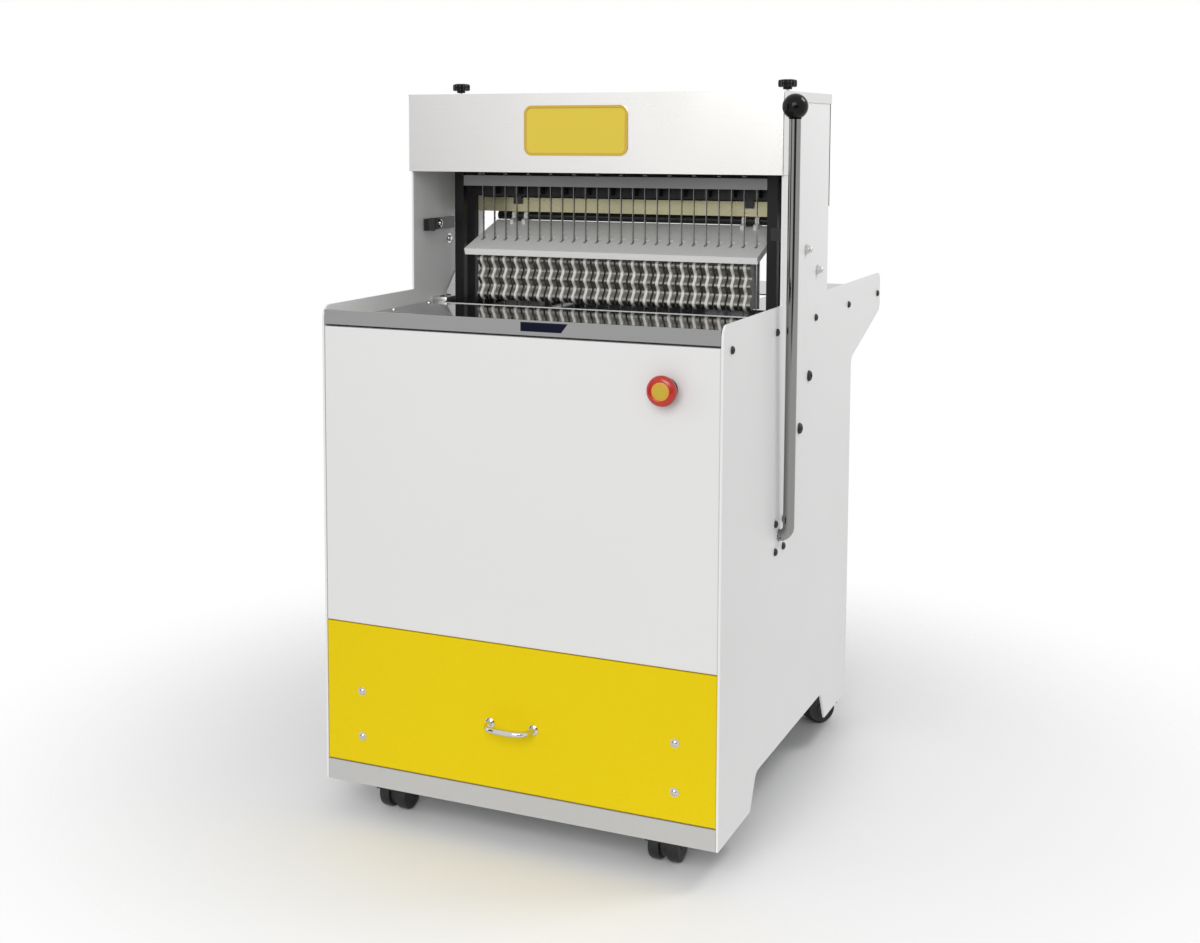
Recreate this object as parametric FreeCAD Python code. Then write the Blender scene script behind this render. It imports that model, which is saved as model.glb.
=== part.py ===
import FreeCAD, Part
import math
import os

# Floor-standing bread slicer: a sheet-metal cabinet on castors with a crumb
# drawer, two blade frames that saw up and down against each other, and a long
# hand lever that drives the loaf pusher through the blades.
# Millimetres.  X runs to the right, Y to the rear, Z up.  While it is built the
# model's zero is on the floor, in the middle of the front panel's face; export()
# moves it to the floor under the middle of the whole machine's outer box.

V = FreeCAD.Vector
X_AXIS = V(1, 0, 0)
Y_AXIS = V(0, 1, 0)
Z_AXIS = V(0, 0, 1)

# --- fits -------------------------------------------------------------------
RUN_FIT = 0.06          # radial clearance of a shaft that turns in a bore
SLIDE_GAP = 0.3         # gap between faces that slide past each other
SEAM = 0.5              # gap beside a fixed sheet panel
DOOR_GAP = 1.5          # visible gap round the drawer front

# --- cabinet ----------------------------------------------------------------
WIDTH = 580.0           # over the two side panels
PANEL_T = 3.0
SHEET_T = 1.5           # folded covers
LEG_Z = 48.3            # underside of the side panels
CABINET_DEPTH = 664.0
REAR_INSET = 2.0        # rear panel to the side panels' rear edge
TABLE_DEPTH = 864.0     # front face to the rear end of the infeed table
SHOULDER_RISE = 22.6    # side panels above the tables
SHOULDER_R = 16.0
TOWER_FRONT = 259.0
TOWER_DEPTH = 244.0
ARCH_FRONT = 138.0
ARCH_LENGTH = 394.0
ARCH_HEIGHT = 46.5
ARCH_RUN = 26.0         # how far each end of the arch leans in
ARCH_R = 16.0
EAR_TIP = 62.6          # height of the panel at its rear end
EAR_ROOT = 122.6        # the same where the ear meets the cabinet
KICK_TOP_Z = 77.0
SPLIT_Z = 279.0         # joint line between the drawer and the front panel
FRONT_TOP_DROP = 6.0    # front panel below the table
FOLD = 18.0             # depth of the folded edges of the front covers
COVER_EDGE_R = 2.0

# --- base and castors -------------------------------------------------------
BASE_T = 3.0
BASE_Z = 96.0
BASE_FRONT = 22.0
CHANNEL_W = 44.0
CHANNEL_H = 30.0
FRONT_CASTOR_SIDE = 87.0    # outer face of the side panel to the castor
FRONT_CASTOR_Y = 75.0
REAR_CASTOR_SIDE = 58.0
REAR_CASTOR_REAR = 28.0     # cabinet's rear edge to the castor
SOCKET_R = 13.0
STEM_R = 5.0
STEM_SHORT = 1.0        # stem's end below the top of the floor plate
BOSS_STEP = 2.0         # castor's boss inside its socket's edge
WHEEL_R = 25.0
WHEEL_W = 17.0
WEB_T = 9.0             # plate between the twin wheels
TRAIL = 18.0
HOOD_T = 2.5
HOOD_CUT = 6.0          # axle to the lower edge of the castor's hood
WHEEL_CLEAR = 1.0
HOOD_SIDE = 2.0
TREAD_R = 3.0
AXLE_R = 4.0

# --- tables -----------------------------------------------------------------
TABLE_T = 2.0
TABLE_Z = 700.0         # working height, which all the heights above the drawer follow
UPSTAND = 17.0          # lip along the front edge of the outfeed table
TABLE_FLANGE = 25.0
LIP_T = 4.0             # the lip is folded double
LIP_DROP = 3.0          # it reaches this far below the table's face
TABLE_GAP_FRONT = 298.0 # rear edge of the outfeed table, in front of the frames
TAB_REAR = 316.0        # rear end of its two side tabs
INFEED_GAP = 3.0        # rear blade frame to the infeed table
SLOT_W = 34.0
SLOT_X = 150.0          # slots of the infeed table for the pusher's uprights

# --- blades and their frames ------------------------------------------------
BLADE_Y = 366.0
BLADE_PITCH = 19.2
BLADE_W = 7.0
BLADE_T = 0.6
THROW = 20.0            # half of each frame's stroke, and its plane's offset
BLADE_ROOM = 16.0       # least room from the outermost blade to the uprights
UPRIGHT_SIDE = 29.0     # inner face of the side panel to the uprights
UPRIGHT_W = 15.0
FRAME_T = 12.0
BAR_H = 16.0
TOP_BAR_DROP = 23.5     # foot of the hood to the front frame's top bar
REAR_BAR_DROP = 17.0    # the rear frame's top bar stands this much lower
BOTTOM_BAR_DROP = 110.0 # table to the bottom bars
UPRIGHT_LOW_DROP = 268.0
UPRIGHT_TOP_GAP = 32.5  # hood's top to the top of the uprights
HOOK_W = 6.0
HOOK_H = 12.0
HEAD_H = 4.0            # cross head that keys each blade end to its hook
GUIDE_H = 26.0
GUIDE_WALL = 8.0
GUIDE_LAP = 4.0         # how far the upright stands out of its channel
GUIDE_PLATE_T = 4.0
GUIDE_PLATE_W = 40.0
GUIDE_PLATE_MARGIN = 14.0
LOWER_GUIDE_DROP = 255.0    # table to the lower guide blocks
UPPER_GUIDE_RISE = 22.5     # hood's foot to the upper ones

# --- crankshaft, connecting rods, motor -------------------------------------
CRANK_DROP = 370.0      # table to the crankshaft
CRANK_R = 12.5
ECCENTRIC_R = 36.0
ROD_T = 14.0
ROD_WALL = 10.0
ROD_SHANK = 22.0
ROD_LENGTH = 200.0
ROD_EYE_R = 13.0
LUG_T = 11.0
FRONT_LUG_STEP = 7      # lugs stand between blades, this many pitches out
REAR_LUG_STEP = 4
BEARING_T = 12.0
BEARING_BOSS = 2.0
BEARING_CORNER = 8.0
CRANK_BEARING_W = 70.0
PULLEY_R = 70.0
MOTOR_PULLEY_R = 32.0
BELT_W = 13.0
BELT_PLAY = 0.5         # each side of the belt in its groove
BELT_T = 8.0
RIM = 10.0
RIM_T = 3.0
PULLEY_SIDE = 27.0      # inner face of the left panel to the pulleys
MOTOR_REAR = 104.0      # cabinet's rear edge to the motor
MOTOR_Z = 172.0
MOTOR_R = 60.0
MOTOR_LENGTH = 220.0
MOTOR_SHAFT_R = 9.5
MOTOR_SHAFT_IN = 24.0   # how far the shaft runs into the motor
MOTOR_GAP = 22.0        # pulley to motor
MOTOR_END = 45.0        # motor's end to its foot
MOTOR_FOOT_T = 8.0
MOTOR_STAND_W = 70.0
MOTOR_BOX_W = 80.0
MOTOR_BOX_H = 28.0

# --- lever ------------------------------------------------------------------
LEVER_Y = 260.0
LEVER_DROP = 299.0      # table to the lever's shaft
LEVER_ROD_R = 8.0
LEVER_BEND_R = 14.0
LEVER_OFFSET = 13.5     # panel face to the lever at its bend
LEVER_HOLE_R = 9.0
SOCKET_DEPTH = 30.0     # how far the lever's foot goes into the cross shaft
BALL_R = 17.5
BALL_OUT = 7.5          # how far the lever leans out, forwards and up
BALL_FORWARD = 25.0
BALL_UP = 594.5
SHAFT_R = 12.0
LEVER_BEARING_T = 6.0
LEVER_BEARING_W = 52.0
LEVER_SCREWS = 39.4     # square of screws round the lever
ROCKER_ROOM = 27.0      # table to the pin of an upright arm
ROCKER_SWING = 24.0     # degrees each side of upright
ROCKER_T = 8.0
ROCKER_W = 28.0
ROCKER_HUB_R = 20.0
ROLLER_R = 11.0
ROLLER_PIN_R = 6.0
SIDE_GAP = 2.0          # between bearing, rocker and link, side by side

# --- pusher carriage --------------------------------------------------------
LINK_T = 8.0
LINK_H = 25.0
LINK_DROP = 45.0
YOKE_PLAY = 2.0         # each side of the roller in its slot
YOKE_WALL = 10.0
YOKE_RIM = 4.0
CARRIAGE_GAP = 1.0      # front bracket to the cross bar
CARRIAGE_D = 20.0
UPRIGHT_PLATE_T = 20.0
UPRIGHT_PLATE_W = 30.0
SLOT_MARGIN = 4.0       # upright to the end of its slot
PUSHER_BACK_Y = 385.0
PUSHER_T = 3.0
PUSHER_RISE = 2.5       # table to the pusher
PUSHER_ROOM = 130.5     # what the throat is higher than the pusher
FINGER_GAP = 3.0        # slot between two fingers, where a blade runs
FINGER_FACE_Y = 341.0
FINGER_T = 2.0
FINGER_WAVES = 3
FINGER_WAVE_D = 8.0
FINGER_WEB = 4.0
FINGER_RIB = 3.0        # how far the web stands out of the wavy face
GUIDE_ROD_R = 6.0
GUIDE_ROD_X = 185.0
BRACKET_T = 8.0
BRACKET_HALF = 15.0     # half width of a front bracket
BRACKET_DROP = 15.0
BRACKET_REAR = 14.0     # cabinet's rear edge to the rear bracket

# --- hold-down flap ---------------------------------------------------------
FLAP_T = 10.0
FLAP_SIDE = 9.0         # flap's end to the uprights
FLAP_FRONT = 126.5      # hinge to the front edge, along the slope
FLAP_BACK = 2.0         # hinge to the rear edge
FLAP_SINK = 12.0        # hinge to the middle of the board
FLAP_ANGLE = 18.3
FLAP_SLOT_W = 4.0
FLAP_SLOT_NEAR = 70.0   # hinge to the two ends of each blade slot
FLAP_SLOT_FAR = 91.0
FLAP_PIN_R = 6.5
FLAP_PIN_Y = 442.0
FLAP_PIN_DROP = 7.0     # pivot bar to the hinge
FLAP_LUG_R = 9.5
FLAP_LUG_T = 6.0
FLAP_LUG_L = 20.0       # how far the lugs run along the board
HOOK_SIDE = 44.0        # flap's end to the hooks
SHAFT_SIDE = 4.0        # flap's end to the end of the hinge shaft
HOOK_LIP = 10.0         # how far the hook comes down in front of the bar
HANGER_W = 14.0
HANGER_T = 4.0
BAR_DEPTH = 6.0
PIVOT_BAR_H = 22.0
PIVOT_BAR_DROP = 66.5   # hood's foot to the bar
PIVOT_BAR_Y = 428.0

# --- hood -------------------------------------------------------------------
HOOD_FRONT = 252.5
THROAT_H = 202.5        # table to the foot of the hood
HOOD_H = 115.0
HOOD_RETURN = 30.5      # depth of the front plate's side returns
LID_T = 1.5
LID_FLANGE = 14.0
REAR_COVER_T = 5.0
REAR_COVER_DROP = 52.0  # it reaches this far below the hood's foot
BADGE = (161.6, 72.5, 2.0)
BADGE_X = -17.5
BADGE_RISE = 61.0       # hood's foot to the middle of the badge
BADGE_R = 12.0
KNOB_SIDE = 29.0        # outer face of the side panel to the knob
KNOB_Y = 370.0
KNOB_R = 14.0
KNOB_H = 11.0
KNOB_LOBES = 5
KNOB_LOBE_R = 4.6
KNOB_HUB_R = 7.0
KNOB_HUB_H = 3.5
KNOB_STUD_R = 3.0
KNOB_STUD_L = 26.0
KNOB_STANDOFF = 4.5

# --- drawer -----------------------------------------------------------------
TRAY_SIDE_GAP = 22.0    # side panel to tray
TRAY_DEPTH = 368.0
TRAY_H = 88.0
RUNNER_T = 2.7
RUNNER_W = 24.0
RUNNER_H = 26.0
HANDLE_X = 0.0
HANDLE_Z = 168.0
HANDLE_SPACING = 64.0
HANDLE_R = 4.0
HANDLE_REACH = 30.0
HANDLE_SHOULDER = 9.0
DRAWER_SCREW_SIDE = 59.0
DRAWER_SCREW_Z = (117.7, 182.5)
DRAWER_SCREW_R = 4.8
DRAWER_SCREW_GRIP = 3.0

# --- emergency stop ---------------------------------------------------------
STOP_SIDE = 74.0        # outer face of the side panel to the button
STOP_DROP = 61.0        # table to the button
STOP_R = 20.0
STOP_REACH = 25.0
STOP_HEAD = 10.0
STOP_RIM_R = 6.0        # round of the head's front rim
STOP_STEM_R = 11.0
STOP_TRAVEL = 4.0
STOP_COLLAR_R = 15.0
STOP_COLLAR_H = 8.0
STOP_BODY_L = 40.0
STOP_BODY_R = 13.0
STOP_WALL = 2.0
STOP_SPARE = 2.0        # left below the stem when the button is pushed in

# --- fasteners --------------------------------------------------------------
SCREW_R = 3.0
SCREW_HEAD_R = 5.3
SCREW_HEAD_H = 3.3
SCREW_DROP = 11.5       # table to the row of screws
SCREW_FIRST_Y = 34.0
SCREW_LAST = 22.0       # table's rear end to the last screw
SCREW_COUNT = 5
BOLT_R = 5.0
BOLT_HEAD_R = 8.0
BOLT_HEAD_H = 4.5
BOLT_AT = ((404.0, 94.0), (356.0, 164.0))   # y, and how far below the table
STUD_R = 4.0
STUD_OUT = 9.0
STUD_NUT_R = 6.5
STUD_NUT_H = 4.0
STUD_AT = ((379.0, 109.5), (442.0, 143.5))  # y, and how far below the hood
GLAND_SIDE = 90.0       # outer face of the left panel to the gland
GLAND_Z = 150.0
GLAND_R = 12.0
GLAND_REACH = 22.0
GLAND_NUT = 9.0
GLAND_NOSE_R = 9.5
GLAND_NECK_R = 7.0
GLAND_BORE_R = 4.2
GLAND_INSIDE = 6.0

# --- cross beam and the brackets inside the throat --------------------------
BEAM_W = 20.0
STRAP_T = 3.0
STRAP_Y = (284.0, 388.0)    # dark strap on each wall
STRAP_DROP = 92.0           # hood's foot to the strap's lower edge
STRAP_H = 18.0
STRAP_TAB = 22.0
STRAP_SCREW_R = 4.0
STRAP_SCREW_Y = 340.0
WALL_SCREW_Y = 375.0
WALL_SCREW_DROP = 108.5
FOOT_W = 25.0
FOOT_Y = (318.0, 358.0)
FOOT_LOW = 9.0              # below and above the table
FOOT_HIGH = 6.0
# y of the gusset's corners, and how far each is above the table
GUSSET = ((362.0, -7.0), (392.0, -7.0), (392.0, 41.0), (362.0, 12.0))

# --- worked out from the values above ---------------------------------------
HALF = WIDTH / 2
INNER = HALF - PANEL_T              # inner face of a side panel
FIT_X = INNER - SEAM                # half width of what fits between the panels
TOWER_REAR = TOWER_FRONT + TOWER_DEPTH
SHOULDER_Z = TABLE_Z + SHOULDER_RISE
FRONT_TOP_Z = TABLE_Z - FRONT_TOP_DROP
HOOD_LOW_Z = TABLE_Z + THROAT_H
HOOD_TOP_Z = HOOD_LOW_Z + HOOD_H
TOWER_TOP_Z = HOOD_TOP_Z - LID_T
BADGE_Z = HOOD_LOW_Z + BADGE_RISE
FRONT_CASTOR = (HALF - FRONT_CASTOR_SIDE, FRONT_CASTOR_Y)
REAR_CASTOR = (HALF - REAR_CASTOR_SIDE, CABINET_DEPTH - REAR_CASTOR_REAR)
FRONT_FRAME_Y = BLADE_Y - THROW
REAR_FRAME_Y = BLADE_Y + THROW
UPRIGHT_OUT = INNER - UPRIGHT_SIDE
UPRIGHT_X = UPRIGHT_OUT - UPRIGHT_W
BLADE_COUNT = 2 * round((UPRIGHT_X - BLADE_ROOM) / BLADE_PITCH)
BLADE_SPAN = (BLADE_COUNT - 1) * BLADE_PITCH / 2
BLADE_EDGES = (BLADE_Y - BLADE_W / 2, BLADE_Y + BLADE_W / 2)
TOP_BAR_Z = HOOD_LOW_Z - TOP_BAR_DROP
REAR_TOP_BAR_Z = TOP_BAR_Z - REAR_BAR_DROP
BOTTOM_BAR_Z = TABLE_Z - BOTTOM_BAR_DROP
UPRIGHT_LOW_Z = TABLE_Z - UPRIGHT_LOW_DROP
UPRIGHT_TOP_Z = HOOD_TOP_Z - UPRIGHT_TOP_GAP
LOWER_GUIDE_Z = TABLE_Z - LOWER_GUIDE_DROP
UPPER_GUIDE_Z = HOOD_LOW_Z + UPPER_GUIDE_RISE
CRANK_Z = TABLE_Z - CRANK_DROP
LEVER_Z = TABLE_Z - LEVER_DROP
ROCKER_L = LEVER_DROP - ROCKER_ROOM
LINK_Z = TABLE_Z - LINK_DROP
PUSHER_Z = TABLE_Z + PUSHER_RISE
PUSHER_H = THROAT_H - PUSHER_ROOM
REAR_BRACKET_Y = CABINET_DEPTH - BRACKET_REAR
FLANGE_Z = TABLE_Z - TABLE_FLANGE   # lower edge of the tables' folded sides
FLAP_HALF = UPRIGHT_X - FLAP_SIDE
HOOK_X = FLAP_HALF - HOOK_SIDE
PIVOT_BAR_Z = HOOD_LOW_Z - PIVOT_BAR_DROP
FLAP_PIN_Z = PIVOT_BAR_Z - FLAP_PIN_DROP
PULLEY_X = PULLEY_SIDE - INNER
MOTOR_Y = CABINET_DEPTH - MOTOR_REAR
KNOB_X = HALF - KNOB_SIDE
DRAWER_SCREW_X = HALF - DRAWER_SCREW_SIDE
STOP_X = HALF - STOP_SIDE
STOP_Z = TABLE_Z - STOP_DROP
GLAND_X = GLAND_SIDE - HALF
SCREW_Z = TABLE_Z - SCREW_DROP
SCREW_STEP = (TABLE_DEPTH - SCREW_FIRST_Y - SCREW_LAST) / (SCREW_COUNT - 1)
BOLT_PLACES = [(y, TABLE_Z - drop) for y, drop in BOLT_AT]
STUD_PLACES = [(y, HOOD_LOW_Z - drop) for y, drop in STUD_AT]
INFEED_FRONT = REAR_FRAME_Y + FRAME_T / 2 + INFEED_GAP
CARRIAGE_Y = INFEED_FRONT + BRACKET_T + CARRIAGE_GAP
CARRIAGE_TOP = LINK_Z + LINK_H
ROCKER_X = INNER - LEVER_BEARING_T - SIDE_GAP - ROCKER_T
LINK_X = ROCKER_X - SIDE_GAP - LINK_T
SWING = math.radians(ROCKER_SWING)
PIN_Y = LEVER_Y - ROCKER_L * math.sin(SWING)
PIN_Z = LEVER_Z + ROCKER_L * math.cos(SWING)
PUSHER_STROKE = 2 * ROCKER_L * math.sin(SWING)
PULLEY_W = BELT_W + 2 * (RIM_T + BELT_PLAY)
ROD_TOP_Z = CRANK_Z + ROD_LENGTH
LUG_TO_ROD = (LUG_T + ROD_T) / 2 + SLIDE_GAP
FRONT_ROD_X = FRONT_LUG_STEP * BLADE_PITCH - LUG_TO_ROD
REAR_ROD_X = REAR_LUG_STEP * BLADE_PITCH - LUG_TO_ROD
LEVER_X = HALF + LEVER_OFFSET
BALL = V(LEVER_X + BALL_OUT, LEVER_Y - BALL_FORWARD, LEVER_Z + BALL_UP)
HOOD_X = HALF + SHEET_T             # outer face of the hood's sides
KNOB_TOP_Z = HOOD_TOP_Z + KNOB_STANDOFF + KNOB_HUB_H + KNOB_H
FRONT_MOST = -max(STOP_REACH, HANDLE_REACH)
REAR_MOST = TABLE_DEPTH
LEFT_MOST = -(HALF + STUD_OUT)
ORIGIN = V((BALL.x + BALL_R + LEFT_MOST) / 2, (FRONT_MOST + REAR_MOST) / 2, 0)


# --- shape helpers ----------------------------------------------------------
def box(x, y, z):
    """A block between the two values given for each axis."""
    return Part.makeBox(x[1] - x[0], y[1] - y[0], z[1] - z[0], V(x[0], y[0], z[0]))


def cyl(radius, length, start, axis):
    return Part.makeCylinder(radius, length, start, axis)


def rod_x(radius, x0, x1, y, z):
    return cyl(radius, x1 - x0, V(x0, y, z), X_AXIS)


def rod_y(radius, y0, y1, x, z):
    return cyl(radius, y1 - y0, V(x, y0, z), Y_AXIS)


def rod_z(radius, z0, z1, x, y):
    return cyl(radius, z1 - z0, V(x, y, z0), Z_AXIS)


def mirrored(shape):
    return shape.mirror(V(0, 0, 0), X_AXIS)


def both(shape):
    return [shape, mirrored(shape)]


def joined(shapes):
    shapes = list(shapes)
    return shapes[0].multiFuse(shapes[1:]).removeSplitter()


def rounded_wire(corners):
    """A closed wire through (point, radius) corners, with each corner an arc."""
    edges = []
    ends = []
    count = len(corners)
    for index, (point, radius) in enumerate(corners):
        back = (corners[index - 1][0] - point).normalize()
        ahead = (corners[(index + 1) % count][0] - point).normalize()
        if radius <= 0:
            ends.append((point, point))
            continue
        half_angle = back.getAngle(ahead) / 2
        reach = radius / math.tan(half_angle)
        middle = (back + ahead).normalize()
        centre = point + middle * (radius / math.sin(half_angle))
        start = point + back * reach
        finish = point + ahead * reach
        edges.append(Part.Arc(start, centre - middle * radius, finish).toShape())
        ends.append((start, finish))
    for index in range(count):
        start = ends[index][1]
        finish = ends[(index + 1) % count][0]
        if start.distanceToPoint(finish) > 1e-6:
            edges.append(Part.LineSegment(start, finish).toShape())
    return Part.Wire(Part.__sortEdges__(edges))


def plate_x(corners, x0, x1):
    """A plate in the YZ plane; corners are (y, z) or (y, z, radius)."""
    wire = rounded_wire([(V(x0, c[0], c[1]), c[2] if len(c) > 2 else 0) for c in corners])
    return Part.Face(wire).extrude(V(x1 - x0, 0, 0))


def plate_y(corners, y0, y1):
    """A plate in the XZ plane; corners are (x, z) or (x, z, radius)."""
    wire = rounded_wire([(V(c[0], y0, c[1]), c[2] if len(c) > 2 else 0) for c in corners])
    return Part.Face(wire).extrude(V(0, y1 - y0, 0))


def bent_rod(points, bend, radius):
    """A round rod along straight runs joined by tangent arcs."""
    edges = []
    start = points[0]
    for index in range(1, len(points) - 1):
        corner = points[index]
        back = (points[index - 1] - corner).normalize()
        ahead = (points[index + 1] - corner).normalize()
        half_angle = back.getAngle(ahead) / 2
        reach = bend / math.tan(half_angle)
        middle = (back + ahead).normalize()
        through = corner + middle * (bend / math.sin(half_angle) - bend)
        edges.append(Part.LineSegment(start, corner + back * reach).toShape())
        start = corner + ahead * reach
        edges.append(Part.Arc(corner + back * reach, through, start).toShape())
    edges.append(Part.LineSegment(start, points[-1]).toShape())
    run = points[1] - points[0]
    section = Part.Wire(Part.makeCircle(radius, points[0], run))
    return Part.Wire(edges).makePipeShell([section], True, True)


def turned(shape, centre, axis, degrees):
    return shape.rotated(centre, axis, degrees)


# --- cabinet ----------------------------------------------------------------
def screw_places():
    """(y, z) of the row of screws along the top of each side panel."""
    return [(SCREW_FIRST_Y + SCREW_STEP * i, SCREW_Z) for i in range(SCREW_COUNT)]


def bearing_screw_places(y, z, square):
    half = square / 2
    return [(y + a * half, z + b * half) for a in (-1, 1) for b in (-1, 1)]


def side_panel():
    """The right-hand panel; the left one is its mirror image."""
    arch_rear = ARCH_FRONT + ARCH_LENGTH
    arch_top = LEG_Z + ARCH_HEIGHT
    outline = [
        (0, LEG_Z), (ARCH_FRONT, LEG_Z),
        (ARCH_FRONT + ARCH_RUN, arch_top, ARCH_R), (arch_rear - ARCH_RUN, arch_top, ARCH_R),
        (arch_rear, LEG_Z), (CABINET_DEPTH, LEG_Z),
        (CABINET_DEPTH, SHOULDER_Z - EAR_ROOT, SHOULDER_R),
        (TABLE_DEPTH, SHOULDER_Z - EAR_TIP, SHOULDER_R),
        (TABLE_DEPTH, SHOULDER_Z, SHOULDER_R),
        (TOWER_REAR, SHOULDER_Z), (TOWER_REAR, TOWER_TOP_Z),
        (TOWER_FRONT, TOWER_TOP_Z), (TOWER_FRONT, SHOULDER_Z),
        (0, SHOULDER_Z, SHOULDER_R),
    ]
    panel = plate_x(outline, INNER, HALF)
    places = [(y, z, SCREW_R) for y, z in screw_places()]
    places += [(y, z, SCREW_R) for y, z in bearing_screw_places(LEVER_Y, LEVER_Z, LEVER_SCREWS)]
    places += [(y, z, BOLT_R) for y, z in BOLT_PLACES]
    places += [(y, z, STUD_R) for y, z in STUD_PLACES]
    places.append((LEVER_Y, LEVER_Z, LEVER_HOLE_R))
    for y, z, radius in places:
        panel = panel.cut(rod_x(radius, INNER - 1, HALF + 1, y, z))
    return panel


def base_frame():
    """Floor plate on two cross channels that hold the castor sockets."""
    plate_rear = CABINET_DEPTH - REAR_INSET - SHEET_T
    parts = [box((-FIT_X, FIT_X), (BASE_FRONT, plate_rear), (BASE_Z, BASE_Z + BASE_T))]
    low = BASE_Z - CHANNEL_H
    for x, y in (FRONT_CASTOR, REAR_CASTOR):
        span = (y - CHANNEL_W / 2, y + CHANNEL_W / 2)
        outer = box((-FIT_X, FIT_X), span, (low, BASE_Z))
        inner = (span[0] + BASE_T, span[1] - BASE_T)
        outer = outer.cut(box((-WIDTH, WIDTH), inner, (low - 1, BASE_Z - BASE_T)))
        parts.append(outer)
        parts += both(rod_z(SOCKET_R, low, BASE_Z, x, y))
    frame = joined(parts)
    for x, y in (FRONT_CASTOR, REAR_CASTOR):
        for bore in both(rod_z(STEM_R + RUN_FIT, low - 1, BASE_Z + BASE_T + 1, x, y)):
            frame = frame.cut(bore)
    return frame


def folded_cover(z0, z1):
    """A front cover: a sheet with its four edges folded back."""
    skin = box((-FIT_X, FIT_X), (0, FOLD), (z0, z1))
    skin = skin.makeFillet(COVER_EDGE_R, [e for e in skin.Edges if abs(e.BoundBox.YMax) < 1e-6])
    hollow = box((-FIT_X + SHEET_T, FIT_X - SHEET_T), (SHEET_T, FOLD + 1),
                 (z0 + SHEET_T, z1 - SHEET_T))
    return skin.cut(hollow)


def kick_plate():
    face = box((-FIT_X, FIT_X), (0, SHEET_T), (LEG_Z, KICK_TOP_Z))
    channel_front = FRONT_CASTOR[1] - CHANNEL_W / 2
    fold = box((-FIT_X, FIT_X), (0, channel_front), (KICK_TOP_Z - SHEET_T, KICK_TOP_Z))
    return joined([face, fold])


def front_panel():
    """Upper front cover with the hole for the emergency stop."""
    hole = rod_y(STOP_BODY_R, -1, SHEET_T + 1, STOP_X, STOP_Z)
    return folded_cover(SPLIT_Z, FRONT_TOP_Z).cut(hole)


def rear_panel():
    """Folded rear cover; it stops below the infeed table and its rear bracket."""
    rear = CABINET_DEPTH - REAR_INSET
    low = BASE_Z + BASE_T
    top = FLANGE_Z - SEAM
    skin = box((-FIT_X, FIT_X), (rear - FOLD, rear), (low, top))
    hollow = box((-FIT_X + SHEET_T, FIT_X - SHEET_T), (rear - FOLD - 1, rear - SHEET_T), (low - 1, top + 1))
    bracket_room = box((-WIDTH, WIDTH), (0, REAR_BRACKET_Y + BRACKET_T),
                       (LINK_Z - BRACKET_DROP - SEAM, top + 1))
    hole = rod_y(GLAND_NECK_R, rear - FOLD, rear + 1, GLAND_X, GLAND_Z)
    return skin.cut(hollow).cut(bracket_room).cut(hole)


def cable_gland():
    """Gland through the rear panel: hexagon, nose, neck and the cable's bore."""
    rear = CABINET_DEPTH - REAR_INSET
    inside = rear - SHEET_T - GLAND_INSIDE
    corners = [(GLAND_X + GLAND_R * math.cos(math.radians(a)), GLAND_Z + GLAND_R * math.sin(math.radians(a)))
               for a in range(0, 360, 60)]
    body = plate_y(corners, rear, rear + GLAND_NUT)
    nose = rod_y(GLAND_NOSE_R, rear, rear + GLAND_REACH, GLAND_X, GLAND_Z)
    neck = rod_y(GLAND_NECK_R, inside, rear + 1, GLAND_X, GLAND_Z)
    bore = rod_y(GLAND_BORE_R, inside - 1, rear + GLAND_REACH + 1, GLAND_X, GLAND_Z)
    return joined([body, nose, neck]).cut(bore)


# --- tables -----------------------------------------------------------------
def side_flange(y0, y1):
    """Folded-down edge of a table, with the holes for the panel screws."""
    flange = box((INNER - TABLE_T, INNER), (y0, y1), (FLANGE_Z, TABLE_Z))
    for y, z in screw_places():
        if y0 < y < y1:
            flange = flange.cut(rod_x(SCREW_R, INNER - TABLE_T - 1, INNER + 1, y, z))
    return flange


def front_table():
    """Outfeed table: folded lip, side flanges, rolled rear edge, a tab each side."""
    low = TABLE_Z - TABLE_T
    lip = box((-FIT_X, FIT_X), (0, LIP_T), (TABLE_Z - LIP_DROP, TABLE_Z + UPSTAND))
    lip = lip.makeFillet(LIP_T * 0.4, [e for e in lip.Edges if e.BoundBox.ZMin > TABLE_Z + UPSTAND - 1e-6
                                       and e.BoundBox.XLength > 1])
    top = box((-INNER, INNER), (LIP_T, TAB_REAR), (low, TABLE_Z))
    gap = box((-UPRIGHT_OUT - INFEED_GAP, UPRIGHT_OUT + INFEED_GAP), (TABLE_GAP_FRONT, TAB_REAR + 1),
              (low - 1, TABLE_Z + 1))
    edge_r = TABLE_T * 1.5
    edge = rod_x(edge_r, -UPRIGHT_OUT, UPRIGHT_OUT, TABLE_GAP_FRONT - edge_r, TABLE_Z - edge_r)
    return joined([lip, top.cut(gap), edge] + both(side_flange(FOLD + SEAM, TAB_REAR)))


def rear_table():
    """Infeed table with its two slots and a folded rear end."""
    low = TABLE_Z - TABLE_T
    rear = TABLE_DEPTH - TABLE_T
    top = box((-INNER, INNER), (INFEED_FRONT, rear), (low, TABLE_Z))
    end = box((-INNER, INNER), (rear - TABLE_T, rear), (FLANGE_Z, TABLE_Z))
    table = joined([top, end] + both(side_flange(INFEED_FRONT, rear)))
    slot_rear = PUSHER_BACK_Y + PUSHER_T + UPRIGHT_PLATE_T + PUSHER_STROKE + SLOT_MARGIN
    slot_front = PUSHER_BACK_Y + PUSHER_T - SLOT_MARGIN
    slot = box((SLOT_X - SLOT_W / 2, SLOT_X + SLOT_W / 2), (slot_front, slot_rear), (low - 1, TABLE_Z + 1))
    for cutter in both(slot):
        table = table.cut(cutter)
    return table


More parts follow.
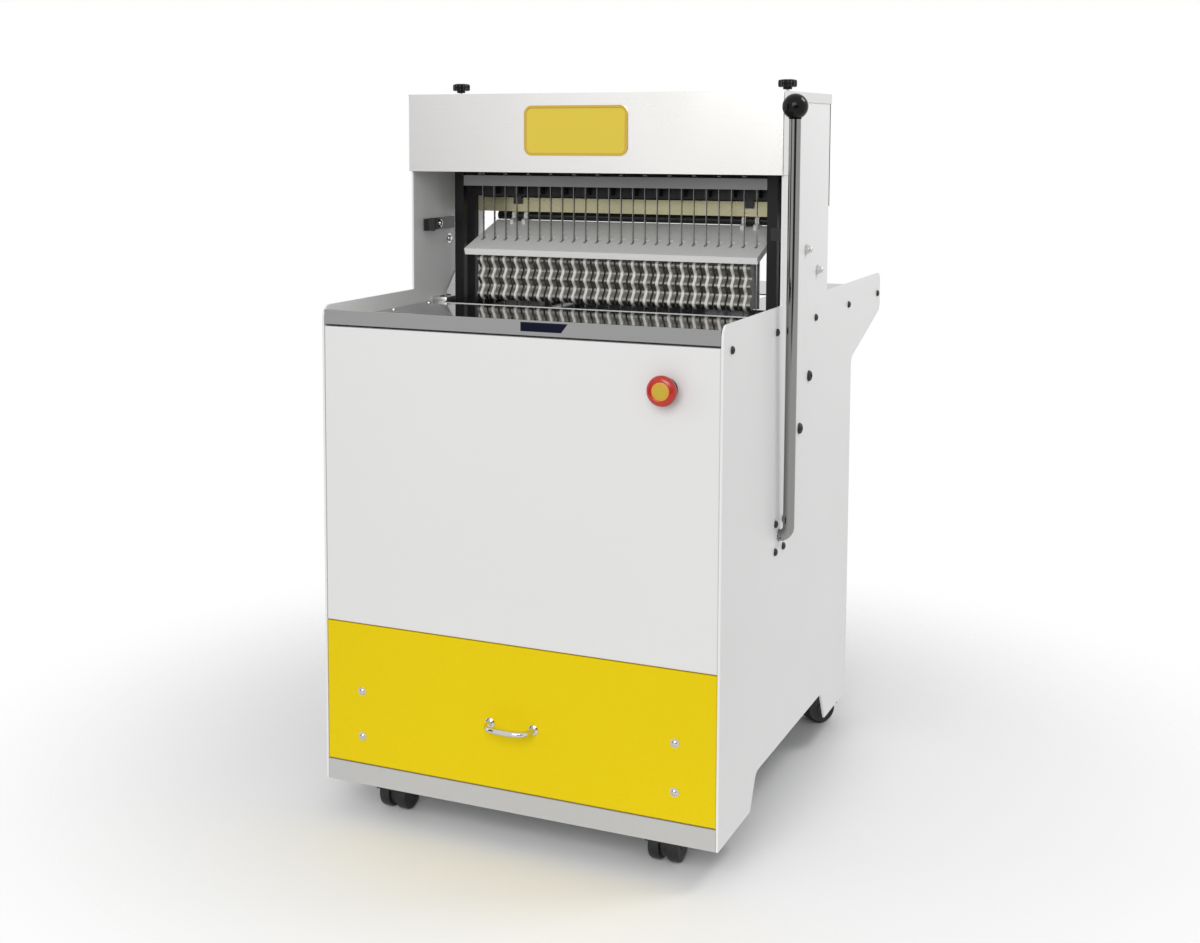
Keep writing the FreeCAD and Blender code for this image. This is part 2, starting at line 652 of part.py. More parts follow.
# --- hood -------------------------------------------------------------------
def hood_front():
    """Front plate of the hood with its side returns and a fold along its foot."""
    outer = box((-HOOD_X, HOOD_X), (HOOD_FRONT, HOOD_FRONT + HOOD_RETURN), (HOOD_LOW_Z, TOWER_TOP_Z))
    corners = [e for e in outer.Edges
               if e.BoundBox.YMax < HOOD_FRONT + 1e-6 and e.BoundBox.ZLength > 1]
    outer = outer.makeFillet(SHEET_T * 1.6, corners)
    hollow = box((-HALF, HALF), (HOOD_FRONT + SHEET_T, HOOD_FRONT + HOOD_RETURN + 1),
                 (HOOD_LOW_Z - 1, TOWER_TOP_Z + 1))
    fold = box((-HALF, HALF), (HOOD_FRONT, TOWER_FRONT - SEAM), (HOOD_LOW_Z, HOOD_LOW_Z + SHEET_T))
    return joined([outer.cut(hollow), fold])


def hood_top():
    """Lid on the side panels, with a flange down each side behind the returns."""
    rear = TOWER_REAR + REAR_COVER_T
    top = box((-HOOD_X, HOOD_X), (HOOD_FRONT, rear), (TOWER_TOP_Z, HOOD_TOP_Z))
    flange_front = HOOD_FRONT + HOOD_RETURN + SEAM
    flange = box((HALF, HOOD_X), (flange_front, rear), (HOOD_TOP_Z - LID_FLANGE, HOOD_TOP_Z))
    lid = joined([top] + both(flange))
    for bore in both(rod_z(KNOB_STUD_R + RUN_FIT, TOWER_TOP_Z - 1, HOOD_TOP_Z + 1, KNOB_X, KNOB_Y)):
        lid = lid.cut(bore)
    return lid


def tower_rear_cover():
    """Folded cover across the rear of the tower, behind the hood."""
    rear = TOWER_REAR + REAR_COVER_T
    low = HOOD_LOW_Z - REAR_COVER_DROP
    skin = box((-HALF, HALF), (TOWER_REAR, rear), (low, TOWER_TOP_Z))
    hollow = box((-HALF + SHEET_T, HALF - SHEET_T), (TOWER_REAR - 1, rear - SHEET_T),
                 (low + SHEET_T, TOWER_TOP_Z - SHEET_T))
    return skin.cut(hollow)


def badge_plate():
    width, height, thick = BADGE
    x0, x1 = BADGE_X - width / 2, BADGE_X + width / 2
    z0, z1 = BADGE_Z - height / 2, BADGE_Z + height / 2
    corners = [(x0, z0, BADGE_R), (x1, z0, BADGE_R), (x1, z1, BADGE_R), (x0, z1, BADGE_R)]
    return plate_y(corners, HOOD_FRONT - thick, HOOD_FRONT)


def star_knob():
    """Five-lobed knob on a stud that passes through the hood's lid."""
    low = HOOD_TOP_Z + KNOB_STANDOFF
    head = rod_z(KNOB_R - KNOB_LOBE_R, low + KNOB_HUB_H, KNOB_TOP_Z, KNOB_X, KNOB_Y)
    parts = [head, rod_z(KNOB_HUB_R, low, KNOB_TOP_Z, KNOB_X, KNOB_Y)]
    for lobe in range(KNOB_LOBES):
        angle = 2 * math.pi * lobe / KNOB_LOBES
        reach = KNOB_R - KNOB_LOBE_R
        parts.append(rod_z(KNOB_LOBE_R, low + KNOB_HUB_H, KNOB_TOP_Z,
                           KNOB_X + reach * math.cos(angle), KNOB_Y + reach * math.sin(angle)))
    parts.append(rod_z(KNOB_STUD_R, low - KNOB_STUD_L, low + 1, KNOB_X, KNOB_Y))
    return joined(parts)


# --- blade frames -----------------------------------------------------------
def blade_places(first):
    """X of every second blade, from the first or the second on."""
    return [-BLADE_SPAN + BLADE_PITCH * i for i in range(first, BLADE_COUNT, 2)]


def blade_frame(plane_y, first, rod_place, top_bar_z):
    """Frame of bars: uprights, two cross bars, a hook for each blade end, two lugs."""
    y = (plane_y - FRAME_T / 2, plane_y + FRAME_T / 2)
    parts = both(box((UPRIGHT_X, UPRIGHT_OUT), y, (UPRIGHT_LOW_Z, UPRIGHT_TOP_Z)))
    parts += [box((-UPRIGHT_X, UPRIGHT_X), y, (z, z + BAR_H)) for z in (BOTTOM_BAR_Z, top_bar_z)]
    # each hook is a fork from the bar's face to the far edge of the blades
    reach = (y[1], BLADE_EDGES[1]) if plane_y < BLADE_Y else (BLADE_EDGES[0], y[0])
    for x in blade_places(first):
        for z in (BOTTOM_BAR_Z, top_bar_z + BAR_H - HOOK_H):
            hook = box((x - HOOK_W / 2, x + HOOK_W / 2), reach, (z, z + HOOK_H))
            slot = box((x - BLADE_T / 2, x + BLADE_T / 2), BLADE_EDGES, (z - 1, z + HOOK_H + 1))
            parts.append(hook.cut(slot))
    lug_x = rod_place + ROD_T / 2 + SLIDE_GAP
    lug = joined([box((lug_x, lug_x + LUG_T), y, (ROD_TOP_Z, BOTTOM_BAR_Z)),
                  rod_x(FRAME_T, lug_x, lug_x + LUG_T, plane_y, ROD_TOP_Z)])
    return parts + both(lug.cut(rod_x(ROLLER_PIN_R, lug_x - 1, lug_x + LUG_T + 1, plane_y, ROD_TOP_Z)))


def blades(first, top_bar_z):
    """Thin strips with a cross head at each end, keyed over the hooks."""
    strips = []
    low, high = BOTTOM_BAR_Z, top_bar_z + BAR_H
    for x in blade_places(first):
        strip = box((x - BLADE_T / 2, x + BLADE_T / 2), BLADE_EDGES, (low - HEAD_H, high + HEAD_H))
        heads = [box((x - HOOK_W / 2, x + HOOK_W / 2), BLADE_EDGES, (z, z + HEAD_H))
                 for z in (low - HEAD_H, high)]
        strips.append(joined([strip] + heads))
    return strips


def frame_guides():
    """Four blocks on the side panels, each with a channel for both frames."""
    y0 = FRONT_FRAME_Y - FRAME_T / 2 - GUIDE_WALL
    y1 = REAR_FRAME_Y + FRAME_T / 2 + GUIDE_WALL
    bolt_y, bolt_z = BOLT_PLACES[1]
    blocks = []
    for z in (LOWER_GUIDE_Z, UPPER_GUIDE_Z):
        block = box((UPRIGHT_X + GUIDE_LAP, INNER), (y0, y1), (z, z + GUIDE_H))
        for plane in (FRONT_FRAME_Y, REAR_FRAME_Y):
            channel = (plane - FRAME_T / 2 - SLIDE_GAP, plane + FRAME_T / 2 + SLIDE_GAP)
            block = block.cut(box((UPRIGHT_X, UPRIGHT_OUT + SLIDE_GAP), channel, (z - 1, z + GUIDE_H + 1)))
        if z < bolt_z:
            # the lower blocks hang on a plate that a large bolt holds
            half = GUIDE_PLATE_W / 2
            plate = box((INNER - GUIDE_PLATE_T, INNER), (bolt_y - half, bolt_y + half),
                        (z, bolt_z + GUIDE_PLATE_MARGIN))
            block = joined([block, plate])
        blocks += both(block)
    return blocks


def cross_beam():
    """Square bar between the side panels, behind the upper large bolt."""
    y, z = BOLT_PLACES[0]
    half = BEAM_W / 2
    return box((-INNER, INNER), (y - half, y + half), (z - half, z + half))


def throat_brackets():
    """On each wall: a bent strap and its screws, a foot block and a gusset."""
    y0, y1 = STRAP_Y
    z0 = HOOD_LOW_Z - STRAP_DROP
    z1 = z0 + STRAP_H
    wall = INNER - STRAP_T
    strap = joined([box((wall, INNER), (y0, y1), (z0, z1)),
                    box((INNER - STRAP_TAB, INNER), (y0, y0 + STRAP_T), (z0, z1))])
    bolt = rod_x(STRAP_SCREW_R, wall - STRAP_T, wall, STRAP_SCREW_Y, (z0 + z1) / 2)
    screw = rod_x(STRAP_SCREW_R, wall, INNER, WALL_SCREW_Y, HOOD_LOW_Z - WALL_SCREW_DROP)
    foot = box((INNER - FOOT_W, INNER), FOOT_Y, (TABLE_Z - FOOT_LOW, TABLE_Z + FOOT_HIGH))
    gusset = plate_x([(y, TABLE_Z + rise) for y, rise in GUSSET], wall, INNER)
    pieces = []
    for piece in (strap, bolt, screw, foot, gusset):
        pieces += both(piece)
    return pieces


# --- drive ------------------------------------------------------------------
def flange_bearing(y, z, bore, width, thick, boss):
    """Square housing on the inner face of the right-hand panel."""
    half = width / 2
    corners = [(y + a * half, z + b * half, BEARING_CORNER) for a, b in ((-1, -1), (1, -1), (1, 1), (-1, 1))]
    housing = plate_x(corners, INNER - thick, INNER)
    if boss > 0:
        housing = joined([housing, rod_x(half * 0.7, INNER - thick - boss, INNER, y, z)])
    return housing.cut(rod_x(bore + RUN_FIT, INNER - thick - boss - 1, INNER + 1, y, z))


def crankshaft():
    """Shaft with two pairs of eccentrics, set opposite each other."""
    parts = [rod_x(CRANK_R, -INNER + SLIDE_GAP, INNER - SLIDE_GAP, BLADE_Y, CRANK_Z)]
    for x, y in ((FRONT_ROD_X, FRONT_FRAME_Y), (REAR_ROD_X, REAR_FRAME_Y)):
        half = ROD_T / 2
        parts += both(rod_x(ECCENTRIC_R, x - half, x + half, y, CRANK_Z))
    return joined(parts)


def connecting_rod(x, y):
    half = ROD_T / 2
    ring = ECCENTRIC_R + ROD_WALL
    parts = [rod_x(ring, x - half, x + half, y, CRANK_Z),
             box((x - half, x + half), (y - ROD_SHANK / 2, y + ROD_SHANK / 2), (CRANK_Z, ROD_TOP_Z)),
             rod_x(ROD_EYE_R, x - half, x + half, y, ROD_TOP_Z)]
    rod = joined(parts)
    rod = rod.cut(rod_x(ECCENTRIC_R + RUN_FIT, x - half - 1, x + half + 1, y, CRANK_Z))
    return rod.cut(rod_x(ROLLER_PIN_R, x - half - 1, x + half + 1, y, ROD_TOP_Z))


def pulley(radius, bore, y, z):
    x0, x1 = PULLEY_X - PULLEY_W / 2, PULLEY_X + PULLEY_W / 2
    parts = [rod_x(radius, x0, x1, y, z)]
    for x in (x0, x1 - RIM_T):
        parts.append(rod_x(radius + RIM, x, x + RIM_T, y, z))
    return joined(parts).cut(rod_x(bore, x0 - 1, x1 + 1, y, z))


def motor_pulley():
    """Pulley with the motor shaft that it is keyed to."""
    x1 = PULLEY_X + PULLEY_W / 2 + MOTOR_GAP + MOTOR_SHAFT_IN
    shaft = rod_x(MOTOR_SHAFT_R, PULLEY_X - PULLEY_W / 2, x1, MOTOR_Y, MOTOR_Z)
    return joined([pulley(MOTOR_PULLEY_R, MOTOR_SHAFT_R, MOTOR_Y, MOTOR_Z), shaft])


def motor_body():
    """Motor on its foot, with a terminal box on top."""
    floor = BASE_Z + BASE_T
    x0 = PULLEY_X + PULLEY_W / 2 + MOTOR_GAP
    x1 = x0 + MOTOR_LENGTH
    foot_x = (x0 + MOTOR_END, x1 - MOTOR_END)
    body = rod_x(MOTOR_R, x0, x1, MOTOR_Y, MOTOR_Z)
    foot = box(foot_x, (MOTOR_Y - MOTOR_R, MOTOR_Y + MOTOR_R), (floor, floor + MOTOR_FOOT_T))
    stand = box(foot_x, (MOTOR_Y - MOTOR_STAND_W / 2, MOTOR_Y + MOTOR_STAND_W / 2), (floor, MOTOR_Z))
    terminals = box(foot_x, (MOTOR_Y - MOTOR_BOX_W / 2, MOTOR_Y + MOTOR_BOX_W / 2),
                    (MOTOR_Z, MOTOR_Z + MOTOR_R + MOTOR_BOX_H))
    motor = joined([body, foot, stand, terminals])
    return motor.cut(rod_x(MOTOR_SHAFT_R + RUN_FIT, x0 - 1, x0 + MOTOR_SHAFT_IN + 1, MOTOR_Y, MOTOR_Z))


def belt_loop(offset):
    """Outline of the belt at a distance from both pulleys, in the YZ plane."""
    x = PULLEY_X - BELT_W / 2
    big = V(x, BLADE_Y, CRANK_Z)
    small = V(x, MOTOR_Y, MOTOR_Z)
    r_big, r_small = PULLEY_R + offset, MOTOR_PULLEY_R + offset
    run = small - big
    heading = math.atan2(run.z, run.y)
    lean = math.acos((r_big - r_small) / run.Length)

    def at(centre, radius, angle):
        return centre + V(0, radius * math.cos(angle), radius * math.sin(angle))

    up, down = heading + lean, heading - lean
    edges = [
        Part.Arc(at(big, r_big, up), at(big, r_big, heading + math.pi), at(big, r_big, down)).toShape(),
        Part.LineSegment(at(big, r_big, down), at(small, r_small, down)).toShape(),
        Part.Arc(at(small, r_small, down), at(small, r_small, heading), at(small, r_small, up)).toShape(),
        Part.LineSegment(at(small, r_small, up), at(big, r_big, up)).toShape(),
    ]
    return Part.Face(Part.Wire(edges)).extrude(V(BELT_W, 0, 0))


def drive_belt():
    return belt_loop(SLIDE_GAP + BELT_T).cut(belt_loop(SLIDE_GAP))


# --- lever ------------------------------------------------------------------
def lever_rod():
    start = V(INNER - SOCKET_DEPTH, LEVER_Y, LEVER_Z)
    corner = V(LEVER_X, LEVER_Y, LEVER_Z)
    return bent_rod([start, corner, BALL], LEVER_BEND_R, LEVER_ROD_R)


def lever_ball():
    ball = Part.makeSphere(BALL_R, BALL)
    along = (BALL - V(LEVER_X, LEVER_Y, LEVER_Z)).normalize()
    return ball.cut(cyl(LEVER_ROD_R, BALL_R * 2, BALL - along * BALL_R * 2, along))


def rocker_shaft():
    """Cross shaft with its two arms welded on; the lever's foot sits in its end."""
    shaft = rod_x(SHAFT_R, -INNER + SLIDE_GAP, INNER - SLIDE_GAP, LEVER_Y, LEVER_Z)
    shaft = joined([shaft] + both(rocker_arm()))
    return shaft.cut(rod_x(LEVER_ROD_R, INNER - SOCKET_DEPTH, INNER + 1, LEVER_Y, LEVER_Z))


def rocker_arm():
    """Arm of the cross shaft, leaning forwards, with the roller's pin."""
    x0, x1 = ROCKER_X, ROCKER_X + ROCKER_T
    half = ROCKER_W / 2
    tip = LEVER_Z + ROCKER_L
    parts = [box((x0, x1), (LEVER_Y - half, LEVER_Y + half), (LEVER_Z, tip)),
             rod_x(half, x0, x1, LEVER_Y, tip),
             rod_x(ROCKER_HUB_R, x0 - SIDE_GAP, x1, LEVER_Y, LEVER_Z),
             rod_x(ROLLER_PIN_R, LINK_X, x1, LEVER_Y, tip)]
    return turned(joined(parts), V(0, LEVER_Y, LEVER_Z), X_AXIS, ROCKER_SWING)


def arm_roller():
    roller = rod_x(ROLLER_R, LINK_X, LINK_X + LINK_T, PIN_Y, PIN_Z)
    return roller.cut(rod_x(ROLLER_PIN_R + RUN_FIT, LINK_X - 1, LINK_X + LINK_T + 1, PIN_Y, PIN_Z))


# --- pusher carriage --------------------------------------------------------
def carriage_link():
    """Side bar of the carriage, with the upright slot that the roller works in."""
    x = (LINK_X, LINK_X + LINK_T)
    slot_half = ROLLER_R + YOKE_PLAY
    slot_low = PIN_Z - ROLLER_R - YOKE_PLAY
    slot_high = LEVER_Z + ROCKER_L + ROLLER_R + YOKE_PLAY
    half = slot_half + YOKE_WALL
    yoke = box(x, (PIN_Y - half, PIN_Y + half), (slot_low - YOKE_RIM, slot_high + YOKE_RIM))
    bar = box(x, (PIN_Y, CARRIAGE_Y + CARRIAGE_D), (LINK_Z, CARRIAGE_TOP))
    slot = box((x[0] - 1, x[1] + 1), (PIN_Y - slot_half, PIN_Y + slot_half), (slot_low, slot_high))
    return joined([yoke, bar]).cut(slot)


def carriage_bar():
    """Cross bar on the guide rods, with the posts that rise to the pusher."""
    y = (CARRIAGE_Y, CARRIAGE_Y + CARRIAGE_D)
    bar = box((-LINK_X, LINK_X), y, (LINK_Z, CARRIAGE_TOP))
    back = PUSHER_BACK_Y + PUSHER_T
    half = UPRIGHT_PLATE_W / 2
    post = box((SLOT_X - half, SLOT_X + half), (back, back + UPRIGHT_PLATE_T), (LINK_Z, PUSHER_Z + PUSHER_H))
    bar = joined([bar] + both(post))
    z = LINK_Z + LINK_H / 2
    for bore in both(rod_y(GUIDE_ROD_R + RUN_FIT, back - 1, y[1] + 1, GUIDE_ROD_X, z)):
        bar = bar.cut(bore)
    return bar


def pusher_back_plate():
    half = BLADE_SPAN - FINGER_GAP / 2
    return box((-half, half), (PUSHER_BACK_Y, PUSHER_BACK_Y + PUSHER_T), (PUSHER_Z, PUSHER_Z + PUSHER_H))


def wave_points():
    """Points of the wavy face that meets the loaf, from its foot to its top."""
    steps = FINGER_WAVES * 2
    return [V(0, FINGER_FACE_Y + (0 if i % 2 else FINGER_WAVE_D), PUSHER_Z + PUSHER_H * i / steps)
            for i in range(steps + 1)]


def wave_slab(x0, x1, start, rear_y):
    """Plate behind the wave: start is its depth, rear_y its flat back, or None."""
    points = [p + V(x0, start, 0) for p in wave_points()]
    front = Part.BSplineCurve()
    front.interpolate(points)
    if rear_y is None:
        back = front.copy()
        back.translate(V(0, FINGER_T, 0))
        back_edges = [back.toShape()]
        corners = [p + V(0, FINGER_T, 0) for p in (points[0], points[-1])]
    else:
        corners = [V(x0, rear_y, p.z) for p in (points[0], points[-1])]
        back_edges = [Part.LineSegment(corners[0], corners[1]).toShape()]
    ends = [Part.LineSegment(points[i], corners[i]).toShape() for i in (0, -1)]
    wire = Part.Wire(Part.__sortEdges__([front.toShape()] + back_edges + ends))
    return Part.Face(wire).extrude(V(x1 - x0, 0, 0))


def pusher_fingers():
    """One finger between each pair of blades, standing on the back plate."""
    half = (BLADE_PITCH - FINGER_GAP) / 2
    strip = wave_slab(-half, half, 0, None)
    web = wave_slab(-FINGER_WEB / 2, FINGER_WEB / 2, -FINGER_RIB, PUSHER_BACK_Y)
    finger = joined([strip, web])
    fingers = []
    for i in range(BLADE_COUNT - 1):
        copy = finger.copy()
        copy.translate(V(-BLADE_SPAN + BLADE_PITCH * (i + 0.5), 0, 0))
        fingers.append(copy)
    return fingers


def carriage_rods():
    """Two guide rods, each in a front bracket under the table, and a rear cross bar."""
    z = LINK_Z + LINK_H / 2
    front_y = INFEED_FRONT
    low = LINK_Z - BRACKET_DROP
    front_x = (GUIDE_ROD_X - BRACKET_HALF, GUIDE_ROD_X + BRACKET_HALF)
    front = box(front_x, (front_y, front_y + BRACKET_T), (low, TABLE_Z - TABLE_T))
    rear_y = (REAR_BRACKET_Y, REAR_BRACKET_Y + BRACKET_T)
    rear = box((-INNER, INNER), rear_y, (low, FLANGE_Z - SEAM))
    rods = both(rod_y(GUIDE_ROD_R, front_y, rear_y[1], GUIDE_ROD_X, z))
    brackets = []
    for bracket in both(front) + [rear]:
        for rod in rods:
            bracket = bracket.cut(rod)
        brackets.append(bracket)
    return rods + brackets


# --- hold-down flap ---------------------------------------------------------
def hold_down_flap():
    """Sloping slotted board with its hinge lugs, made flat and then tilted."""
    board = (-FLAP_SINK - FLAP_T / 2, -FLAP_SINK + FLAP_T / 2)
    parts = [box((-FLAP_HALF, FLAP_HALF), (-FLAP_FRONT, -FLAP_BACK), board)]
    slots = [box((x - FLAP_SLOT_W / 2, x + FLAP_SLOT_W / 2), (-FLAP_SLOT_FAR, -FLAP_SLOT_NEAR),
                 (board[0] - 1, board[1] + 1)) for x in blade_places(0) + blade_places(1)]
    near = HANGER_W / 2 + SLIDE_GAP
    bores = []
    for x in (-HOOK_X, HOOK_X):
        # room for the hook's knuckle between the lugs
        bores.append(rod_x(FLAP_LUG_R + SLIDE_GAP, x - near, x + near, 0, 0))
        for x0 in (x - near - FLAP_LUG_T, x + near):
            x1 = x0 + FLAP_LUG_T
            parts.append(rod_x(FLAP_LUG_R, x0, x1, 0, 0))
            parts.append(box((x0, x1), (-FLAP_LUG_L, 0), (board[0], 0)))
            bores.append(rod_x(FLAP_PIN_R + RUN_FIT, x0 - 1, x1 + 1, 0, 0))
    flap = joined(parts).cut(Part.makeCompound(slots)).cut(Part.makeCompound(bores))
    flap.rotate(V(0, 0, 0), X_AXIS, FLAP_ANGLE)
    flap.translate(V(0, FLAP_PIN_Y, FLAP_PIN_Z))
    return flap


def pivot_bar():
    return box((-INNER, INNER), (PIVOT_BAR_Y, PIVOT_BAR_Y + BAR_DEPTH),
               (PIVOT_BAR_Z, PIVOT_BAR_Z + PIVOT_BAR_H))


def flap_hangers():
    """Two hooks over the bar and the hinge shaft that they hold below it."""
    rear = PIVOT_BAR_Y + BAR_DEPTH
    top = PIVOT_BAR_Z + PIVOT_BAR_H
    x = (HOOK_X - HANGER_W / 2, HOOK_X + HANGER_W / 2)
    rod_half = FLAP_HALF - SHAFT_SIDE
    rod = rod_x(FLAP_PIN_R, -rod_half, rod_half, FLAP_PIN_Y, FLAP_PIN_Z)
    hook = joined([box(x, (PIVOT_BAR_Y - HANGER_T, rear + HANGER_T), (top, top + HANGER_T)),
                   box(x, (PIVOT_BAR_Y - HANGER_T, PIVOT_BAR_Y), (top - HOOK_LIP, top + 1)),
                   box(x, (rear, rear + HANGER_T), (FLAP_PIN_Z, top + 1)),
                   rod_x(FLAP_LUG_R, x[0], x[1], FLAP_PIN_Y, FLAP_PIN_Z)]).cut(rod)
    return both(hook) + [rod]


# --- drawer -----------------------------------------------------------------
def drawer_front():
    cover = folded_cover(KICK_TOP_Z + DOOR_GAP, SPLIT_Z - DOOR_GAP)
    for x in (-DRAWER_SCREW_X, DRAWER_SCREW_X):
        for z in DRAWER_SCREW_Z:
            cover = cover.cut(rod_y(SCREW_R, -1, SHEET_T + 1, x, z))
    return cover


def drawer_tray():
    """Tray of five plates: a floor, two sides, and a front and a rear wall."""
    half = INNER - TRAY_SIDE_GAP
    low = BASE_Z + BASE_T + RUNNER_T + SLIDE_GAP
    wall_z = (low + SHEET_T, low + TRAY_H)
    floor = box((-half, half), (SHEET_T, TRAY_DEPTH), (low, wall_z[0]))
    side = box((half - SHEET_T, half), (SHEET_T, TRAY_DEPTH), wall_z)
    front, rear = (box((-half + SHEET_T, half - SHEET_T), (y, y + SHEET_T), wall_z)
                   for y in (SHEET_T, TRAY_DEPTH - SHEET_T))
    for x in (-DRAWER_SCREW_X, DRAWER_SCREW_X):
        for z in DRAWER_SCREW_Z:
            if wall_z[0] < z - SCREW_R and z + SCREW_R < wall_z[1]:
                front = front.cut(rod_y(SCREW_R, 0, 2 * SHEET_T + 1, x, z))
    return [floor, front, rear] + both(side)


def drawer_runner():
    """Angle strip on the floor plate that carries and steers the tray."""
    edge = INNER - TRAY_SIDE_GAP + SLIDE_GAP
    low = BASE_Z + BASE_T
    y = (BASE_FRONT, TRAY_DEPTH)
    strip = box((edge - RUNNER_W, edge + SHEET_T), y, (low, low + RUNNER_T))
    wall = box((edge, edge + SHEET_T), y, (low, low + RUNNER_H))
    return joined([strip, wall])


def drawer_handle():
    """Bow of round bar between two feet."""
    left = HANDLE_X - HANDLE_SPACING / 2
    right = HANDLE_X + HANDLE_SPACING / 2
    inset = HANDLE_SPACING / 4
    points = [V(left, 0, HANDLE_Z), V(left, -HANDLE_SHOULDER, HANDLE_Z),
              V(left + inset, -HANDLE_REACH + HANDLE_R, HANDLE_Z),
              V(right - inset, -HANDLE_REACH + HANDLE_R, HANDLE_Z),
              V(right, -HANDLE_SHOULDER, HANDLE_Z), V(right, 0, HANDLE_Z)]
    return bent_rod(points, HANDLE_R * 1.6, HANDLE_R)


def domed_screw(x, z):
    """Screw through the drawer front, with a domed head."""
    dome = Part.makeSphere(DRAWER_SCREW_R * 1.25, V(x, DRAWER_SCREW_R * 0.75, z))
    reach = DRAWER_SCREW_R * 2
    head = dome.common(box((x - reach, x + reach), (-reach, 0), (z - reach, z + reach)))
    shank = rod_y(SCREW_R, 0, 2 * SHEET_T + DRAWER_SCREW_GRIP, x, z)
    return joined([head, shank])


# --- emergency stop ---------------------------------------------------------
def stop_base():
    """Collar on the panel, with the switch body behind it."""
    collar = rod_y(STOP_COLLAR_R, -STOP_COLLAR_H, 0, STOP_X, STOP_Z)
    body = rod_y(STOP_BODY_R, 0, STOP_BODY_L, STOP_X, STOP_Z)
    bore = rod_y(STOP_STEM_R + SLIDE_GAP, -STOP_REACH, STOP_BODY_L - STOP_WALL, STOP_X, STOP_Z)
    return joined([collar, body]).cut(bore)


def stop_button():
    """Mushroom head on its stem."""
    front = -STOP_REACH
    head = rod_y(STOP_R, front, front + STOP_HEAD, STOP_X, STOP_Z)
    rim = [e for e in head.Edges if e.BoundBox.YMax < front + 1e-6]
    head = head.makeFillet(STOP_RIM_R, rim)
    end = STOP_BODY_L - STOP_WALL - STOP_TRAVEL - STOP_SPARE
    stem = rod_y(STOP_STEM_R, front + STOP_HEAD / 2, end, STOP_X, STOP_Z)
    return joined([head, stem])


# --- fasteners --------------------------------------------------------------
def panel_screw(y, z, thick):
    """Button-head screw through the right-hand panel."""
    head = rod_x(SCREW_HEAD_R, HALF, HALF + SCREW_HEAD_H, y, z)
    rim = [e for e in head.Edges if e.BoundBox.XMin > HALF + SCREW_HEAD_H - 1e-6]
    head = head.makeFillet(SCREW_HEAD_H * 0.6, rim)
    shank = rod_x(SCREW_R, HALF - PANEL_T - thick, HALF, y, z)
    return joined([head, shank])


def panel_screws():
    screws = []
    for y, z in screw_places():
        screws += both(panel_screw(y, z, TABLE_T))
    for y, z in bearing_screw_places(LEVER_Y, LEVER_Z, LEVER_SCREWS):
        screws += both(panel_screw(y, z, 0))
    return screws


def panel_bolts():
    """Two large bolts and two nutted studs on each side panel."""
    pieces = []
    for y, z in BOLT_PLACES:
        head = rod_x(BOLT_HEAD_R, HALF, HALF + BOLT_HEAD_H, y, z)
        pieces += both(joined([head, rod_x(BOLT_R, INNER, HALF + 1, y, z)]))
    for y, z in STUD_PLACES:
        stud = rod_x(STUD_R, INNER, HALF + STUD_OUT, y, z)
        nut = rod_x(STUD_NUT_R, HALF, HALF + STUD_NUT_H, y, z)
        pieces += both(joined([stud, nut]))
    return pieces


# --- castors ----------------------------------------------------------------
def castor_body(x, y, heading):
    """Hood over twin wheels on a stem; heading turns it about the stem."""
    half = WEB_T / 2 + WHEEL_W + HOOD_SIDE
    inner_r = WHEEL_R + WHEEL_CLEAR
    hood_r = inner_r + HOOD_T
    shell = rod_x(hood_r, -half, half, -TRAIL, WHEEL_R)
    shell = shell.cut(rod_x(inner_r, -half - 1, half + 1, -TRAIL, WHEEL_R))
    shell = shell.common(box((-half, half), (-2 * hood_r - TRAIL, hood_r), (WHEEL_R + HOOD_CUT, 3 * WHEEL_R)))
    web = rod_x(WHEEL_R * 0.8, -WEB_T / 2, WEB_T / 2, -TRAIL, WHEEL_R)
    rise = box((-WEB_T / 2, WEB_T / 2), (-TRAIL - WEB_T, 0), (WHEEL_R, 2 * WHEEL_R))
    low = BASE_Z - CHANNEL_H
    boss = rod_z(SOCKET_R - BOSS_STEP, WHEEL_R * 1.8, low - SLIDE_GAP, 0, 0)
    boss = boss.cut(rod_x(inner_r, -half, half, -TRAIL, WHEEL_R))
    stem = rod_z(STEM_R, low - BOSS_STEP, BASE_Z + BASE_T - STEM_SHORT, 0, 0)
    body = joined([shell, web, rise, boss, stem])
    body = body.cut(rod_x(AXLE_R + RUN_FIT, -half - 1, half + 1, -TRAIL, WHEEL_R))
    body.rotate(V(0, 0, 0), Z_AXIS, heading)
    body.translate(V(x, y, 0))
    return body


def castor_wheels(x, y, heading):
    """Two wheels, one at each end of their axle."""
    inner = WEB_T / 2 + SLIDE_GAP
    wheel = rod_x(WHEEL_R, inner, inner + WHEEL_W, -TRAIL, WHEEL_R)
    wheel = wheel.makeFillet(TREAD_R, wheel.Edges)
    pieces = both(wheel) + [rod_x(AXLE_R, -inner, inner, -TRAIL, WHEEL_R)]
    for piece in pieces:
        piece.rotate(V(0, 0, 0), Z_AXIS, heading)
        piece.translate(V(x, y, 0))
    return pieces


# name, x, y, heading of each castor's wheels
REAR_HEADING = 135.0
CASTORS = [
    ("front_left", -FRONT_CASTOR[0], FRONT_CASTOR[1], 0.0),
    ("front_right", FRONT_CASTOR[0], FRONT_CASTOR[1], 0.0),
    ("rear_left", -REAR_CASTOR[0], REAR_CASTOR[1], -REAR_HEADING),
    ("rear_right", REAR_CASTOR[0], REAR_CASTOR[1], REAR_HEADING),
]


# --- export -----------------------------------------------------------------
def export(node, shapes):
    """Write one sub-part, moved to the machine's own origin."""
    shapes = shapes if isinstance(shapes, list) else [shapes]
    shape = shapes[0] if len(shapes) == 1 else Part.makeCompound(shapes)
    shape = shape.copy()
    shape.translate(-ORIGIN)
    shape.exportStep("parts/" + node + ".step")


